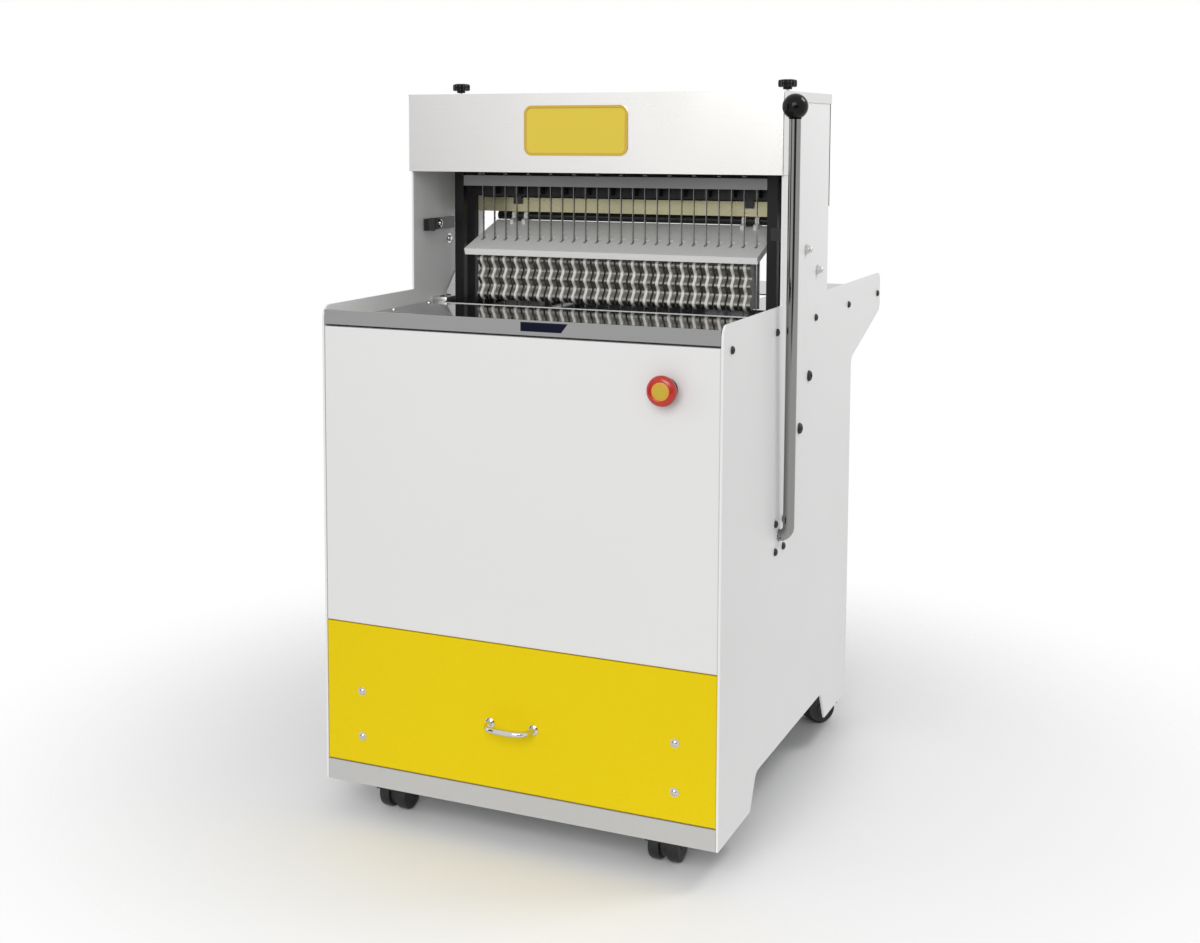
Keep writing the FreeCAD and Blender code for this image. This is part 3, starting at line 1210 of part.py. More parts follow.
def main():
    os.makedirs("parts", exist_ok=True)
    panel = side_panel()
    export("side_panel_right", panel)
    export("side_panel_left", mirrored(panel))
    export("base_frame", base_frame())
    export("kick_plate", kick_plate())
    export("front_panel", front_panel())
    export("rear_panel", rear_panel())
    export("cable_gland", cable_gland())
    export("front_table", front_table())
    export("rear_table", rear_table())
    export("hood_front", hood_front())
    export("hood_top", hood_top())
    export("tower_rear_cover", tower_rear_cover())
    export("badge_plate", badge_plate())
    export("star_knob_right", star_knob())
    export("star_knob_left", mirrored(star_knob()))

    export("front_blade_frame", blade_frame(FRONT_FRAME_Y, 0, FRONT_ROD_X, TOP_BAR_Z))
    export("front_blades", blades(0, TOP_BAR_Z))
    export("rear_blade_frame", blade_frame(REAR_FRAME_Y, 1, REAR_ROD_X, REAR_TOP_BAR_Z))
    export("rear_blades", blades(1, REAR_TOP_BAR_Z))
    export("frame_guides", frame_guides())
    export("cross_beam", cross_beam())
    export("throat_brackets", throat_brackets())

    crank_bearing = flange_bearing(BLADE_Y, CRANK_Z, CRANK_R, CRANK_BEARING_W, BEARING_T, BEARING_BOSS)
    export("crank_bearings", both(crank_bearing))
    export("crankshaft", crankshaft())
    export("crank_pulley", pulley(PULLEY_R, CRANK_R, BLADE_Y, CRANK_Z))
    export("front_connecting_rods", both(connecting_rod(FRONT_ROD_X, FRONT_FRAME_Y)))
    export("rear_connecting_rods", both(connecting_rod(REAR_ROD_X, REAR_FRAME_Y)))
    export("motor_body", motor_body())
    export("motor_pulley", motor_pulley())
    export("drive_belt", drive_belt())

    lever_bearing = flange_bearing(LEVER_Y, LEVER_Z, SHAFT_R, LEVER_BEARING_W, LEVER_BEARING_T, 0)
    export("lever_bearings", both(lever_bearing))
    export("lever_rod", lever_rod())
    export("lever_ball", lever_ball())
    export("rocker_shaft", rocker_shaft())
    export("arm_rollers", both(arm_roller()))

    export("carriage_links", both(carriage_link()))
    export("carriage_bar", carriage_bar())
    export("pusher_back_plate", pusher_back_plate())
    export("pusher_fingers", pusher_fingers())
    export("carriage_rods", carriage_rods())

    export("hold_down_flap", hold_down_flap())
    export("pivot_bar", pivot_bar())
    export("flap_hangers", flap_hangers())

    export("drawer_front", drawer_front())
    export("drawer_tray", drawer_tray())
    export("drawer_runners", both(drawer_runner()))
    export("drawer_handle", drawer_handle())
    export("drawer_screws", [domed_screw(x, z) for x in (-DRAWER_SCREW_X, DRAWER_SCREW_X)
                             for z in DRAWER_SCREW_Z])

    export("stop_base", stop_base())
    export("stop_button", stop_button())
    export("panel_screws", panel_screws())
    export("panel_bolts", panel_bolts())

    for name, x, y, heading in CASTORS:
        export("castor_" + name, castor_body(x, y, heading))
        export("castor_wheels_" + name, castor_wheels(x, y, heading))


main()
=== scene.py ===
import math

import bmesh
import bpy
from bmesh.types import BMFace, BMVert
from mathutils import Matrix, Vector


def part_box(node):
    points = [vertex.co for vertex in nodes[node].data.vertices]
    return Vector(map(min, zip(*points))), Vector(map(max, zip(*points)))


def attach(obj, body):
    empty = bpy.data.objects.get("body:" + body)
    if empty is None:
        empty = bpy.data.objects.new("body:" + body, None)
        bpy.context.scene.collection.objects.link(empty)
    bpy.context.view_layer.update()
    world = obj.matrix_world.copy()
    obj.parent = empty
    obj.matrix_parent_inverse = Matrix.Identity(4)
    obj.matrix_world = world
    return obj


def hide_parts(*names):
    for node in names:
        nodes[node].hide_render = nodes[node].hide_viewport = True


# Looks of a floor-standing bread slicer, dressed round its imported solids.
# Places are written in millimetres from the machine's own zero: the middle of
# the front panel's face, on the floor.  mm() turns them into the row's metres.

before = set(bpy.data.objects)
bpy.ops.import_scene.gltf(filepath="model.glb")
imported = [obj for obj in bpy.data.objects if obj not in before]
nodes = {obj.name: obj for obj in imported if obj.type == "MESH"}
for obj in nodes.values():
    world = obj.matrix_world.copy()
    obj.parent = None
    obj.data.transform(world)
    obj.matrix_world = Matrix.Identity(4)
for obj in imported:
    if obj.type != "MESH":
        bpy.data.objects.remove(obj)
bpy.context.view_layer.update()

PANEL_X = 290.0                 # outer face of the side panels
panel_low, panel_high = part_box("side_panel_right")
ZERO = Vector((panel_high.x - PANEL_X / 1000, panel_low.y, 0))
X, Y, Z = Vector((1, 0, 0)), Vector((0, 1, 0)), Vector((0, 0, 1))


def mm(x, y, z):
    return Vector((x, y, z)) / 1000 + ZERO


def span(node):
    """Lowest and highest corner of a CAD node, in the machine's millimetres."""
    low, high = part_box(node)
    return (low - ZERO) * 1000, (high - ZERO) * 1000


# --- shader groups ----------------------------------------------------------
def new_group(name, inputs, outputs):
    group = bpy.data.node_groups.new(name, "ShaderNodeTree")
    for label, kind, value in inputs:
        socket = group.interface.new_socket(label, in_out="INPUT", socket_type=kind)
        if value is not None:
            socket.default_value = value
    for label, kind in outputs:
        group.interface.new_socket(label, in_out="OUTPUT", socket_type=kind)
    return group, group.nodes.new("NodeGroupInput"), group.nodes.new("NodeGroupOutput")


def worked_out(tree, operation, *values):
    """The output of a Math node; each value is a number or a socket to link."""
    node = tree.nodes.new("ShaderNodeMath")
    node.operation = operation
    for place, value in enumerate(values):
        if isinstance(value, float):
            node.inputs[place].default_value = value
        else:
            tree.links.new(value, node.inputs[place])
    return node.outputs[0]


def placed_group(tree, group, **values):
    """A shader group in a material, reading Object coordinates, with its plain values."""
    node = tree.nodes.new("ShaderNodeGroup")
    node.node_tree = group
    for label, value in values.items():
        node.inputs[label].default_value = value
    where = tree.nodes.new("ShaderNodeTexCoord")
    tree.links.new(where.outputs["Object"], node.inputs["Vector"])
    return node


def grain_group():
    """Fine variation of tone and height, stretched along the brush lines."""
    group, inside, out = new_group(
        "surface_grain",
        [("Vector", "NodeSocketVector", None), ("Stretch", "NodeSocketVector", (1, 1, 1)),
         ("Scale", "NodeSocketFloat", 100.0), ("Amount", "NodeSocketFloat", 0.03)],
        [("Tone", "NodeSocketFloat"), ("Height", "NodeSocketFloat")])
    link = group.links.new
    stretch = group.nodes.new("ShaderNodeVectorMath")
    stretch.operation = "MULTIPLY"
    link(inside.outputs["Vector"], stretch.inputs[0])
    link(inside.outputs["Stretch"], stretch.inputs[1])
    noise = group.nodes.new("ShaderNodeTexNoise")
    noise.inputs["Detail"].default_value = 3.0
    link(stretch.outputs[0], noise.inputs["Vector"])
    link(inside.outputs["Scale"], noise.inputs["Scale"])
    centred = worked_out(group, "SUBTRACT", noise.outputs["Fac"], 0.5)
    link(worked_out(group, "MULTIPLY_ADD", centred, inside.outputs["Amount"], 1.0), out.inputs["Tone"])
    link(noise.outputs["Fac"], out.inputs["Height"])
    return group


def handling_group():
    """Slow patches of handling and dust: a roughness and a tone."""
    group, inside, out = new_group(
        "handling",
        [("Vector", "NodeSocketVector", None), ("Scale", "NodeSocketFloat", 4.0),
         ("Smooth", "NodeSocketFloat", 0.3), ("Rough", "NodeSocketFloat", 0.4),
         ("Dirt", "NodeSocketFloat", 0.02)],
        [("Roughness", "NodeSocketFloat"), ("Tone", "NodeSocketFloat")])
    link = group.links.new
    noise = group.nodes.new("ShaderNodeTexNoise")
    noise.inputs["Detail"].default_value = 5.0
    link(inside.outputs["Vector"], noise.inputs["Vector"])
    link(inside.outputs["Scale"], noise.inputs["Scale"])
    spread = group.nodes.new("ShaderNodeMapRange")
    spread.inputs["From Min"].default_value = 0.3
    spread.inputs["From Max"].default_value = 0.7
    link(noise.outputs["Fac"], spread.inputs["Value"])
    link(inside.outputs["Smooth"], spread.inputs["To Min"])
    link(inside.outputs["Rough"], spread.inputs["To Max"])
    link(spread.outputs["Result"], out.inputs["Roughness"])
    dirt = worked_out(group, "MULTIPLY", noise.outputs["Fac"], inside.outputs["Dirt"])
    link(worked_out(group, "SUBTRACT", 1.0, dirt), out.inputs["Tone"])
    return group


def shade_group():
    """A colour darkened or lightened by two tones."""
    group, inside, out = new_group(
        "shade_colour",
        [("Color", "NodeSocketColor", (0.8, 0.8, 0.8, 1)), ("Tone A", "NodeSocketFloat", 1.0),
         ("Tone B", "NodeSocketFloat", 1.0)],
        [("Color", "NodeSocketColor")])
    link = group.links.new
    both = worked_out(group, "MULTIPLY", inside.outputs["Tone A"], inside.outputs["Tone B"])
    scale = group.nodes.new("ShaderNodeVectorMath")
    scale.operation = "SCALE"
    link(inside.outputs["Color"], scale.inputs[0])
    link(both, scale.inputs["Scale"])
    link(scale.outputs[0], out.inputs["Color"])
    return group


def beside_group():
    """1 further than a limit from the machine's mid-plane, 0 nearer."""
    group, inside, out = new_group(
        "beside_middle",
        [("Vector", "NodeSocketVector", None), ("Middle", "NodeSocketFloat", 0.0),
         ("Limit", "NodeSocketFloat", 0.1)],
        [("Mask", "NodeSocketFloat")])
    link = group.links.new
    parts = group.nodes.new("ShaderNodeSeparateXYZ")
    link(inside.outputs["Vector"], parts.inputs[0])
    away = worked_out(group, "SUBTRACT", parts.outputs["X"], inside.outputs["Middle"])
    size = worked_out(group, "ABSOLUTE", away)
    link(worked_out(group, "GREATER_THAN", size, inside.outputs["Limit"]), out.inputs["Mask"])
    return group


def ribs_group():
    """1 on upright ribs that repeat at a pitch, 0 between them."""
    group, inside, out = new_group(
        "upright_ribs",
        [("Vector", "NodeSocketVector", None), ("Middle", "NodeSocketFloat", 0.0),
         ("Pitch", "NodeSocketFloat", 0.02), ("Share", "NodeSocketFloat", 0.1)],
        [("Mask", "NodeSocketFloat")])
    link = group.links.new
    parts = group.nodes.new("ShaderNodeSeparateXYZ")
    link(inside.outputs["Vector"], parts.inputs[0])
    away = worked_out(group, "SUBTRACT", parts.outputs["X"], inside.outputs["Middle"])
    count = worked_out(group, "DIVIDE", away, inside.outputs["Pitch"])
    nearest = worked_out(group, "ROUND", count)
    size = worked_out(group, "ABSOLUTE", worked_out(group, "SUBTRACT", count, nearest))
    link(worked_out(group, "LESS_THAN", size, inside.outputs["Share"]), out.inputs["Mask"])
    return group


def fade_group():
    """Rises from 0 to 1 between two distances from the object's origin."""
    group, inside, out = new_group(
        "fade_out",
        [("Vector", "NodeSocketVector", None), ("Near", "NodeSocketFloat", 1.0),
         ("Far", "NodeSocketFloat", 4.0)],
        [("Mask", "NodeSocketFloat")])
    link = group.links.new
    length = group.nodes.new("ShaderNodeVectorMath")
    length.operation = "LENGTH"
    link(inside.outputs["Vector"], length.inputs[0])
    spread = group.nodes.new("ShaderNodeMapRange")
    spread.interpolation_type = "SMOOTHSTEP"
    link(length.outputs["Value"], spread.inputs["Value"])
    link(inside.outputs["Near"], spread.inputs["From Min"])
    link(inside.outputs["Far"], spread.inputs["From Max"])
    link(spread.outputs["Result"], out.inputs["Mask"])
    return group


GRAIN = grain_group()
HANDLING = handling_group()
SHADE = shade_group()
BESIDE = beside_group()
RIBS = ribs_group()
FADE = fade_group()


# --- finishes ---------------------------------------------------------------
BLADE_PITCH = 19.2
RIB_HALF = 2.1          # half the width of a finger's upright rib
BAR_HALF = 242.5        # the light part of the blade frame's top bar, from the middle
COAT_ROUGHNESS = 0.06
RELIEF_DEPTH = 0.001


def finish_material(name, colour, rough, metallic=0.0, grain=400.0, amount=0.04, bump=0.02,
                    stretch=(1, 1, 1), patch=4.0, dirt=0.03, coat=0.0, anisotropy=0.0,
                    specular=0.5, beside=None, ribs=None):
    """A finish with grain, handling patches and a fine bump.

    rough is the least and the greatest roughness of the handling patches.
    beside is (limit, colour): another colour further from the middle than the limit.
    ribs is (pitch, share, colour): another colour on upright ribs at a pitch.
    """
    material = bpy.data.materials.new(name)
    material.use_nodes = True
    tree = material.node_tree
    link = tree.links.new
    shader = tree.nodes["Principled BSDF"]
    shader.inputs["Metallic"].default_value = metallic
    shader.inputs["Coat Weight"].default_value = coat
    shader.inputs["Coat Roughness"].default_value = COAT_ROUGHNESS
    shader.inputs["Specular IOR Level"].default_value = specular
    shader.inputs["Anisotropic"].default_value = anisotropy

    fine = placed_group(tree, GRAIN, Stretch=stretch, Scale=grain, Amount=amount)
    worn = placed_group(tree, HANDLING, Scale=patch, Smooth=rough[0], Rough=rough[1], Dirt=dirt)
    link(worn.outputs["Roughness"], shader.inputs["Roughness"])

    shade = tree.nodes.new("ShaderNodeGroup")
    shade.node_tree = SHADE
    shade.inputs["Color"].default_value = (*colour, 1)
    if beside or ribs:
        if beside:
            mask = placed_group(tree, BESIDE, Middle=ZERO.x, Limit=beside[0])
        else:
            mask = placed_group(tree, RIBS, Middle=ZERO.x, Pitch=ribs[0], Share=ribs[1])
        pick = tree.nodes.new("ShaderNodeMix")
        pick.data_type = "RGBA"
        pick.inputs["A"].default_value = (*colour, 1)
        pick.inputs["B"].default_value = (*(beside or ribs)[-1], 1)
        link(mask.outputs["Mask"], pick.inputs["Factor"])
        if ribs:
            # the ribs are drawn non-metallic so that their near-white colour stands as a painted highlight;
            # the faces between them stay metal
            link(worked_out(tree, "SUBTRACT", 1.0, mask.outputs["Mask"]), shader.inputs["Metallic"])
        link(pick.outputs["Result"], shade.inputs["Color"])
    link(fine.outputs["Tone"], shade.inputs["Tone A"])
    link(worn.outputs["Tone"], shade.inputs["Tone B"])
    link(shade.outputs["Color"], shader.inputs["Base Color"])

    relief = tree.nodes.new("ShaderNodeBump")
    relief.inputs["Strength"].default_value = bump
    relief.inputs["Distance"].default_value = RELIEF_DEPTH
    link(fine.outputs["Height"], relief.inputs["Height"])
    link(relief.outputs["Normal"], shader.inputs["Normal"])
    return material


ALONG_X = (0.02, 1, 1)
ALONG_Z = (1, 1, 0.02)
WHITE_COAT = finish_material("white_powder_coat", (0.90, 0.90, 0.895), (0.30, 0.38), grain=900, amount=0.02,
                             bump=0.05, dirt=0.02)
# The front panel wears the same white coat as the side panels; its colour is set darker here as painted
# shade.
FRONT_COAT_PAINTED_SHADE = finish_material("front_white_painted_shade", (0.84, 0.84, 0.835), (0.28, 0.36), grain=900, amount=0.02,
                             bump=0.05, dirt=0.02)
# The kick plate is white powder coat like the front; its colour is set to a mid grey as painted shade.
KICK_COAT_PAINTED_SHADE = finish_material("kick_white_painted_shade", (0.57, 0.57, 0.565), (0.32, 0.42), grain=900, amount=0.03,
                            bump=0.05, dirt=0.04)
YELLOW_COAT = finish_material("yellow_sparkle_coat", (0.90, 0.68, 0.004), (0.34, 0.46), grain=1600,
                              amount=0.5, bump=0.3, dirt=0.05, specular=0.12)
HOOD_STEEL = finish_material("hood_stainless", (0.92, 0.91, 0.89), (0.24, 0.34), 1.0, grain=900, amount=0.08,
                             bump=0.03, stretch=ALONG_X, dirt=0.03, anisotropy=0.4)
BRUSHED = finish_material("brushed_stainless", (0.66, 0.66, 0.65), (0.22, 0.32), 1.0, grain=900, amount=0.12,
                          bump=0.04, stretch=ALONG_X, dirt=0.04, anisotropy=0.4)
TABLE_STEEL = finish_material("table_stainless", (0.40, 0.40, 0.40), (0.03, 0.08), 1.0, grain=900,
                              amount=0.10, bump=0.02, stretch=ALONG_X, dirt=0.06)
# The lever's steel colour is set very dark as a painted dark reflection, standing in for the dark
# surroundings the polished bar mirrors.
POLISHED_PAINTED_DARK = finish_material("polished_steel", (0.32, 0.32, 0.315), (0.08, 0.14), 1.0, grain=700, amount=0.06,
                           bump=0.01, stretch=ALONG_Z, dirt=0.05)
NICKEL = finish_material("nickel_plate", (0.72, 0.71, 0.69), (0.08, 0.15), 1.0, grain=500, amount=0.03,
                         bump=0.01)
BLADE_STEEL = finish_material("blade_steel", (0.34, 0.34, 0.34), (0.22, 0.34), 1.0, grain=1500, amount=0.10,
                              bump=0.03, stretch=ALONG_Z)
GALVANISED = finish_material("galvanised_steel", (0.48, 0.49, 0.50), (0.35, 0.5), 1.0, grain=60, amount=0.18,
                             bump=0.02)
MACHINED = finish_material("machined_steel", (0.50, 0.50, 0.51), (0.25, 0.38), 1.0, grain=900, amount=0.10,
                           bump=0.03)
BLACK_OXIDE = finish_material("black_oxide", (0.025, 0.025, 0.027), (0.35, 0.5), 0.3, grain=800, amount=0.2,
                              bump=0.05)
FRAME_BAR = finish_material("grey_frame_bar", (0.25, 0.25, 0.255), (0.28, 0.4), 0.6, grain=900, amount=0.15,
                            bump=0.03, stretch=ALONG_X, beside=(BAR_HALF / 1000, (0.012, 0.012, 0.013)))
# Black paint of the rear blade frame; on the tower's rear cover the same black is painted shade for the dark
# inside of the tower.
BLACK_PAINT_AND_SHADE = finish_material("black_paint_and_painted_shade", (0.010, 0.010, 0.011), (0.45, 0.6), grain=700, amount=0.2,
                             bump=0.04)
GLOSS_STEEL = finish_material("black_steel_gloss", (0.015, 0.015, 0.016), (0.14, 0.26), 0.4, grain=500,
                              amount=0.15, bump=0.03, coat=0.3)
# The near-white colour on the fingers' upright ribs is a painted highlight along the rib edges.
FINGER_STEEL_RIB_HIGHLIGHT = finish_material("finger_steel_painted_rib_highlight", (0.36, 0.35, 0.32), (0.34, 0.48), 1.0, grain=700,
                               amount=0.10, bump=0.03, patch=9.0, dirt=0.3,
                               ribs=(BLADE_PITCH / 1000, RIB_HALF / BLADE_PITCH, (0.97, 0.96, 0.92)))
GLOSS_BLACK = finish_material("gloss_black_moulding", (0.006, 0.006, 0.007), (0.08, 0.14), grain=600,
                              amount=0.1, bump=0.01, specular=0.2)
SOFT_BLACK = finish_material("soft_black_moulding", (0.012, 0.012, 0.013), (0.35, 0.5), grain=900, amount=0.2,
                             bump=0.06)
RED_MOULDING = finish_material("red_moulding", (0.54, 0.022, 0.012), (0.16, 0.24), grain=500, amount=0.03,
                               bump=0.01, coat=0.3)
YELLOW_MOULDING = finish_material("yellow_moulding", (0.60, 0.43, 0.03), (0.25, 0.35), grain=600, amount=0.04,
                                  bump=0.02)
AMBER_MOULDING = finish_material("amber_moulding", (0.78, 0.35, 0.04), (0.25, 0.35), grain=600, amount=0.04,
                                 bump=0.02)
BADGE_YELLOW = finish_material("badge_field", (0.82, 0.62, 0.03), (0.12, 0.2), grain=300, amount=0.03,
                               bump=0.01, coat=0.6)
BADGE_GOLD = finish_material("badge_rim", (0.70, 0.47, 0.06), (0.15, 0.22), 0.4, grain=300, amount=0.04,
                             bump=0.01, coat=0.4)
YELLOW_ZINC = finish_material("yellow_zinc_plate", (0.66, 0.62, 0.39), (0.22, 0.34), 0.45, grain=25,
                              amount=0.35, bump=0.01)
WHITE_BOARD = finish_material("white_plastic_board", (0.93, 0.93, 0.92), (0.38, 0.5), grain=700, amount=0.03,
                              bump=0.04, dirt=0.03)
CAST_IRON = finish_material("cast_iron", (0.10, 0.10, 0.105), (0.5, 0.65), 0.5, grain=500, amount=0.25,
                            bump=0.2)
MOTOR_ENAMEL = finish_material("motor_enamel", (0.09, 0.14, 0.20), (0.3, 0.42), grain=600, amount=0.08,
                               bump=0.1)
BELT_RUBBER = finish_material("belt_rubber", (0.018, 0.018, 0.018), (0.6, 0.75), grain=1200, amount=0.2,
                              bump=0.15)
NAVY_LABEL = finish_material("blank_navy_label", (0.004, 0.006, 0.022), (0.5, 0.6), grain=500, amount=0.05,
                             bump=0.01, specular=0.1)
# The rolled edge is pale and almost non-metal: a painted highlight along the table's polished rear edge.
EDGE_PAINTED_HIGHLIGHT = finish_material("rolled_edge_painted_highlight", (0.86, 0.86, 0.84), (0.35, 0.45), 0.2, grain=500, amount=0.05,
                            bump=0.02)
FLOOR_PALE = finish_material("pale_floor", (0.97, 0.97, 0.97), (0.6, 0.7), grain=30, amount=0.01, bump=0.0)

FINISH_OF_NODE = {
    WHITE_COAT: ["side_panel_left", "side_panel_right", "rear_panel"],
    FRONT_COAT_PAINTED_SHADE: ["front_panel"],
    KICK_COAT_PAINTED_SHADE: ["kick_plate"],
    YELLOW_COAT: ["drawer_front"],
    HOOD_STEEL: ["hood_front", "hood_top"],
    BRUSHED: ["drawer_tray", "panel_bolts"],
    # the tower's rear cover is black as painted shade; the rear blade frame is black paint
    BLACK_PAINT_AND_SHADE: ["tower_rear_cover", "rear_blade_frame"],
    GLOSS_STEEL: ["flap_hangers"],
    TABLE_STEEL: ["front_table", "rear_table"],
    GALVANISED: ["base_frame", "drawer_runners", "carriage_rods", "cross_beam"],
    BLACK_OXIDE: ["throat_brackets", "panel_screws"],
    FRAME_BAR: ["front_blade_frame"],
    BLADE_STEEL: ["front_blades", "rear_blades"],
    MACHINED: ["crankshaft", "rocker_shaft", "front_connecting_rods", "rear_connecting_rods",
               "carriage_links", "carriage_bar", "arm_rollers", "pusher_back_plate"],
    POLISHED_PAINTED_DARK: ["lever_rod"],
    FINGER_STEEL_RIB_HIGHLIGHT: ["pusher_fingers"],
    NICKEL: ["drawer_handle", "drawer_screws"],
    GLOSS_BLACK: ["lever_ball", "star_knob_left", "star_knob_right", "cable_gland", "stop_base"],
    RED_MOULDING: ["stop_button"],
    BADGE_YELLOW: ["badge_plate"],
    YELLOW_ZINC: ["pivot_bar"],
    WHITE_BOARD: ["hold_down_flap", "frame_guides"],
    CAST_IRON: ["crank_bearings", "lever_bearings", "crank_pulley", "motor_pulley"],
    MOTOR_ENAMEL: ["motor_body"],
    BELT_RUBBER: ["drive_belt"],
}
for name in nodes:
    if name.startswith("castor_"):
        FINISH_OF_NODE.setdefault(SOFT_BLACK, []).append(name)
for material, names in FINISH_OF_NODE.items():
    for name in names:
        nodes[name].data.materials.clear()
        nodes[name].data.materials.append(material)

# sheet and board edges catch the light on a small round
EDGE_OF_NODE = {"side_panel_left": 0.5, "side_panel_right": 0.5, "hold_down_flap": 1.2, "pivot_bar": 0.5,
                "front_blade_frame": 0.5, "hood_top": 0.3, "drawer_tray": 0.3, "cross_beam": 0.8}
EASED_ANGLE = math.radians(40)
for name, width in EDGE_OF_NODE.items():
    eased = nodes[name].modifiers.new("eased", "BEVEL")
    eased.width = width / 1000
    eased.segments = 2
    eased.limit_method = "ANGLE"
    eased.angle_limit = EASED_ANGLE


# --- mesh helpers -----------------------------------------------------------
SMOOTH_ANGLE = math.radians(32)


def add_piece(name, bm, body, materials, replaces=()):
    """Turn a bmesh into a piece that rides on a body."""
    bmesh.ops.remove_doubles(bm, verts=bm.verts, dist=1e-6)
    bmesh.ops.recalc_face_normals(bm, faces=bm.faces)
    mesh = bpy.data.meshes.new(name)
    bm.to_mesh(mesh)
    bm.free()
    mesh.polygons.foreach_set("use_smooth", [True] * len(mesh.polygons))
    mesh.set_sharp_from_angle(angle=SMOOTH_ANGLE)
    piece = bpy.data.objects.new(name, mesh)
    bpy.context.scene.collection.objects.link(piece)
    for material in materials:
        mesh.materials.append(material)
    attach(piece, body)
    if replaces:
        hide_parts(*replaces)
    return piece


def picked(geom, kind):
    """The vertices or faces in an operator's result."""
    return [g for g in geom if isinstance(g, kind)]


def edges_between(verts):
    """Edges that join two of these vertices."""
    return [e for e in {e for v in verts for e in v.link_edges}
            if e.verts[0] in verts and e.verts[1] in verts]


def along(axis, place):
    """Matrix that carries the Z axis on to axis, at a place."""
    turn = Vector(axis).to_track_quat("Z", "Y").to_matrix().to_4x4()
    return Matrix.Translation(place) @ turn


def block(bm, low, high, edge=0.0, material=0):
    """A block between two corners, given in millimetres, with eased edges."""
    low, high = mm(*low), mm(*high)
    size = high - low
    place = Matrix.Translation((low + high) / 2) @ Matrix.Diagonal((*size, 1))
    made = bmesh.ops.create_cube(bm, size=1.0, matrix=place)["verts"]
    if edge:
        edges = {e for v in made for e in v.link_edges}
        made = bmesh.ops.bevel(bm, geom=list(edges), offset=edge / 1000, affect="EDGES", segments=2,
                               profile=0.5, material=-1)["verts"]
    for face in {f for v in made for f in v.link_faces}:
        face.material_index = material


def hexagon(angle):
    """How far a hexagon's side stands in from its corners, at an angle."""
    sixth = math.pi / 3
    return math.cos(sixth / 2) / math.cos(angle % sixth - sixth / 2)


def turned(bm, profile, place, segments=32, outline=None, material=0):
    """Rings of the profile's (radius, height) in millimetres, drawn out one after another.

    outline(angle, ring) scales a ring's radius, for lobes and sockets.
    """
    ring = bmesh.ops.create_circle(bm, cap_ends=False, radius=1.0, segments=segments)["verts"]
    first_edges = edges_between(ring)
    made = []
    for index, (radius, height) in enumerate(profile):
        if index:
            grown = bmesh.ops.extrude_edge_only(bm, edges=edges_between(ring))["geom"]
            made += picked(grown, BMFace)
            ring = picked(grown, BMVert)
        for vert in ring:
            angle = math.atan2(vert.co.y, vert.co.x)
            reach = radius / 1000 * (outline(angle, index) if outline else 1.0)
            vert.co = Vector((math.cos(angle) * reach, math.sin(angle) * reach, height / 1000))
    for edges in (first_edges, edges_between(ring)):
        made += bmesh.ops.contextual_create(bm, geom=edges)["faces"]
    for face in made:
        face.material_index = material
    bmesh.ops.transform(bm, matrix=place, verts=list({v for f in made for v in f.verts}))


def rod(bm, radius, start, end, segments=24, edge=0.0, material=0):
    """A round bar between two points in millimetres, with eased ends."""
    start, end = Vector(start), Vector(end)
    length = (end - start).length
    profile = [(radius - edge, 0), (radius, edge), (radius, length - edge), (radius - edge, length)]
    if not edge:
        profile = [(radius, 0), (radius, length)]
    turned(bm, profile, along(end - start, mm(*start)), segments, material=material)


# --- lever ------------------------------------------------------------------
LEVER_R = 8.0
LEVER_BEND = 14.0
LEVER_CORNER = Vector((303.5, 260.0, 401.0))
BALL = Vector((311.0, 235.0, 995.5))
BALL_R = 17.5
BALL_NECK = math.radians(28)    # the ball is cut off this far from its lower pole
BALL_STEPS = 20
BALL_COLLAR = 1.2
LEVER_FOOT_X = 262.0


def lever():
    """Bar out of the panel, its bend, and the long run up to the ball."""
    rise = (BALL - LEVER_CORNER).normalized()
    turn = X.angle(rise)
    reach = LEVER_BEND * math.tan(turn / 2)
    side = (rise - X * rise.dot(X)).normalized()
    bm = bmesh.new()
    foot = Vector((LEVER_FOOT_X, LEVER_CORNER.y, LEVER_CORNER.z))
    bend_start = LEVER_CORNER - X * reach
    ring = bmesh.ops.create_circle(bm, cap_ends=True, radius=LEVER_R / 1000, segments=32,
                                   matrix=along(X, mm(*foot)))["verts"]
    verts = picked(bmesh.ops.extrude_edge_only(bm, edges=edges_between(ring))["geom"], BMVert)
    bmesh.ops.translate(bm, vec=mm(*bend_start) - mm(*foot), verts=verts)
    spun = bmesh.ops.spin(bm, geom=edges_between(verts), cent=mm(*(bend_start + side * LEVER_BEND)),
                          axis=X.cross(side), angle=turn, steps=12)["geom_last"]
    top = LEVER_CORNER + rise * reach
    grown = bmesh.ops.extrude_edge_only(bm, edges=edges_between(picked(spun, BMVert)))["geom"]
    verts = picked(grown, BMVert)
    bmesh.ops.translate(bm, vec=(BALL - top) / 1000, verts=verts)
    bmesh.ops.contextual_create(bm, geom=edges_between(verts))
    add_piece("lever_bar", bm, "lever", [POLISHED_PAINTED_DARK], ["lever_rod"])

    bm = bmesh.new()
    angles = [BALL_NECK + (math.pi - BALL_NECK) * i / BALL_STEPS for i in range(BALL_STEPS + 1)]
    collar = -BALL_R * math.cos(BALL_NECK) - BALL_COLLAR
    profile = [(LEVER_R + 0.1, collar), (LEVER_R + 1.4, collar)]
    profile += [(max(BALL_R * math.sin(a), 0.2), -BALL_R * math.cos(a)) for a in angles]
    turned(bm, profile, along(rise, mm(*BALL)), 40)
    add_piece("ball_grip", bm, "lever", [GLOSS_BLACK], ["lever_ball"])


# --- blades -----------------------------------------------------------------
BLADES_PER_FRAME = 12
HEAD_HALF = 3.0
HEAD_H = 4.0
TOOTH = 8.0             # pitch of the scallops
TOOTH_DEPTH = 1.6
BLADE_HALF_T = 0.3
EDGE_SHARE = 0.3        # what is left of the thickness on the cutting edge
STEPS_PER_TOOTH = 4


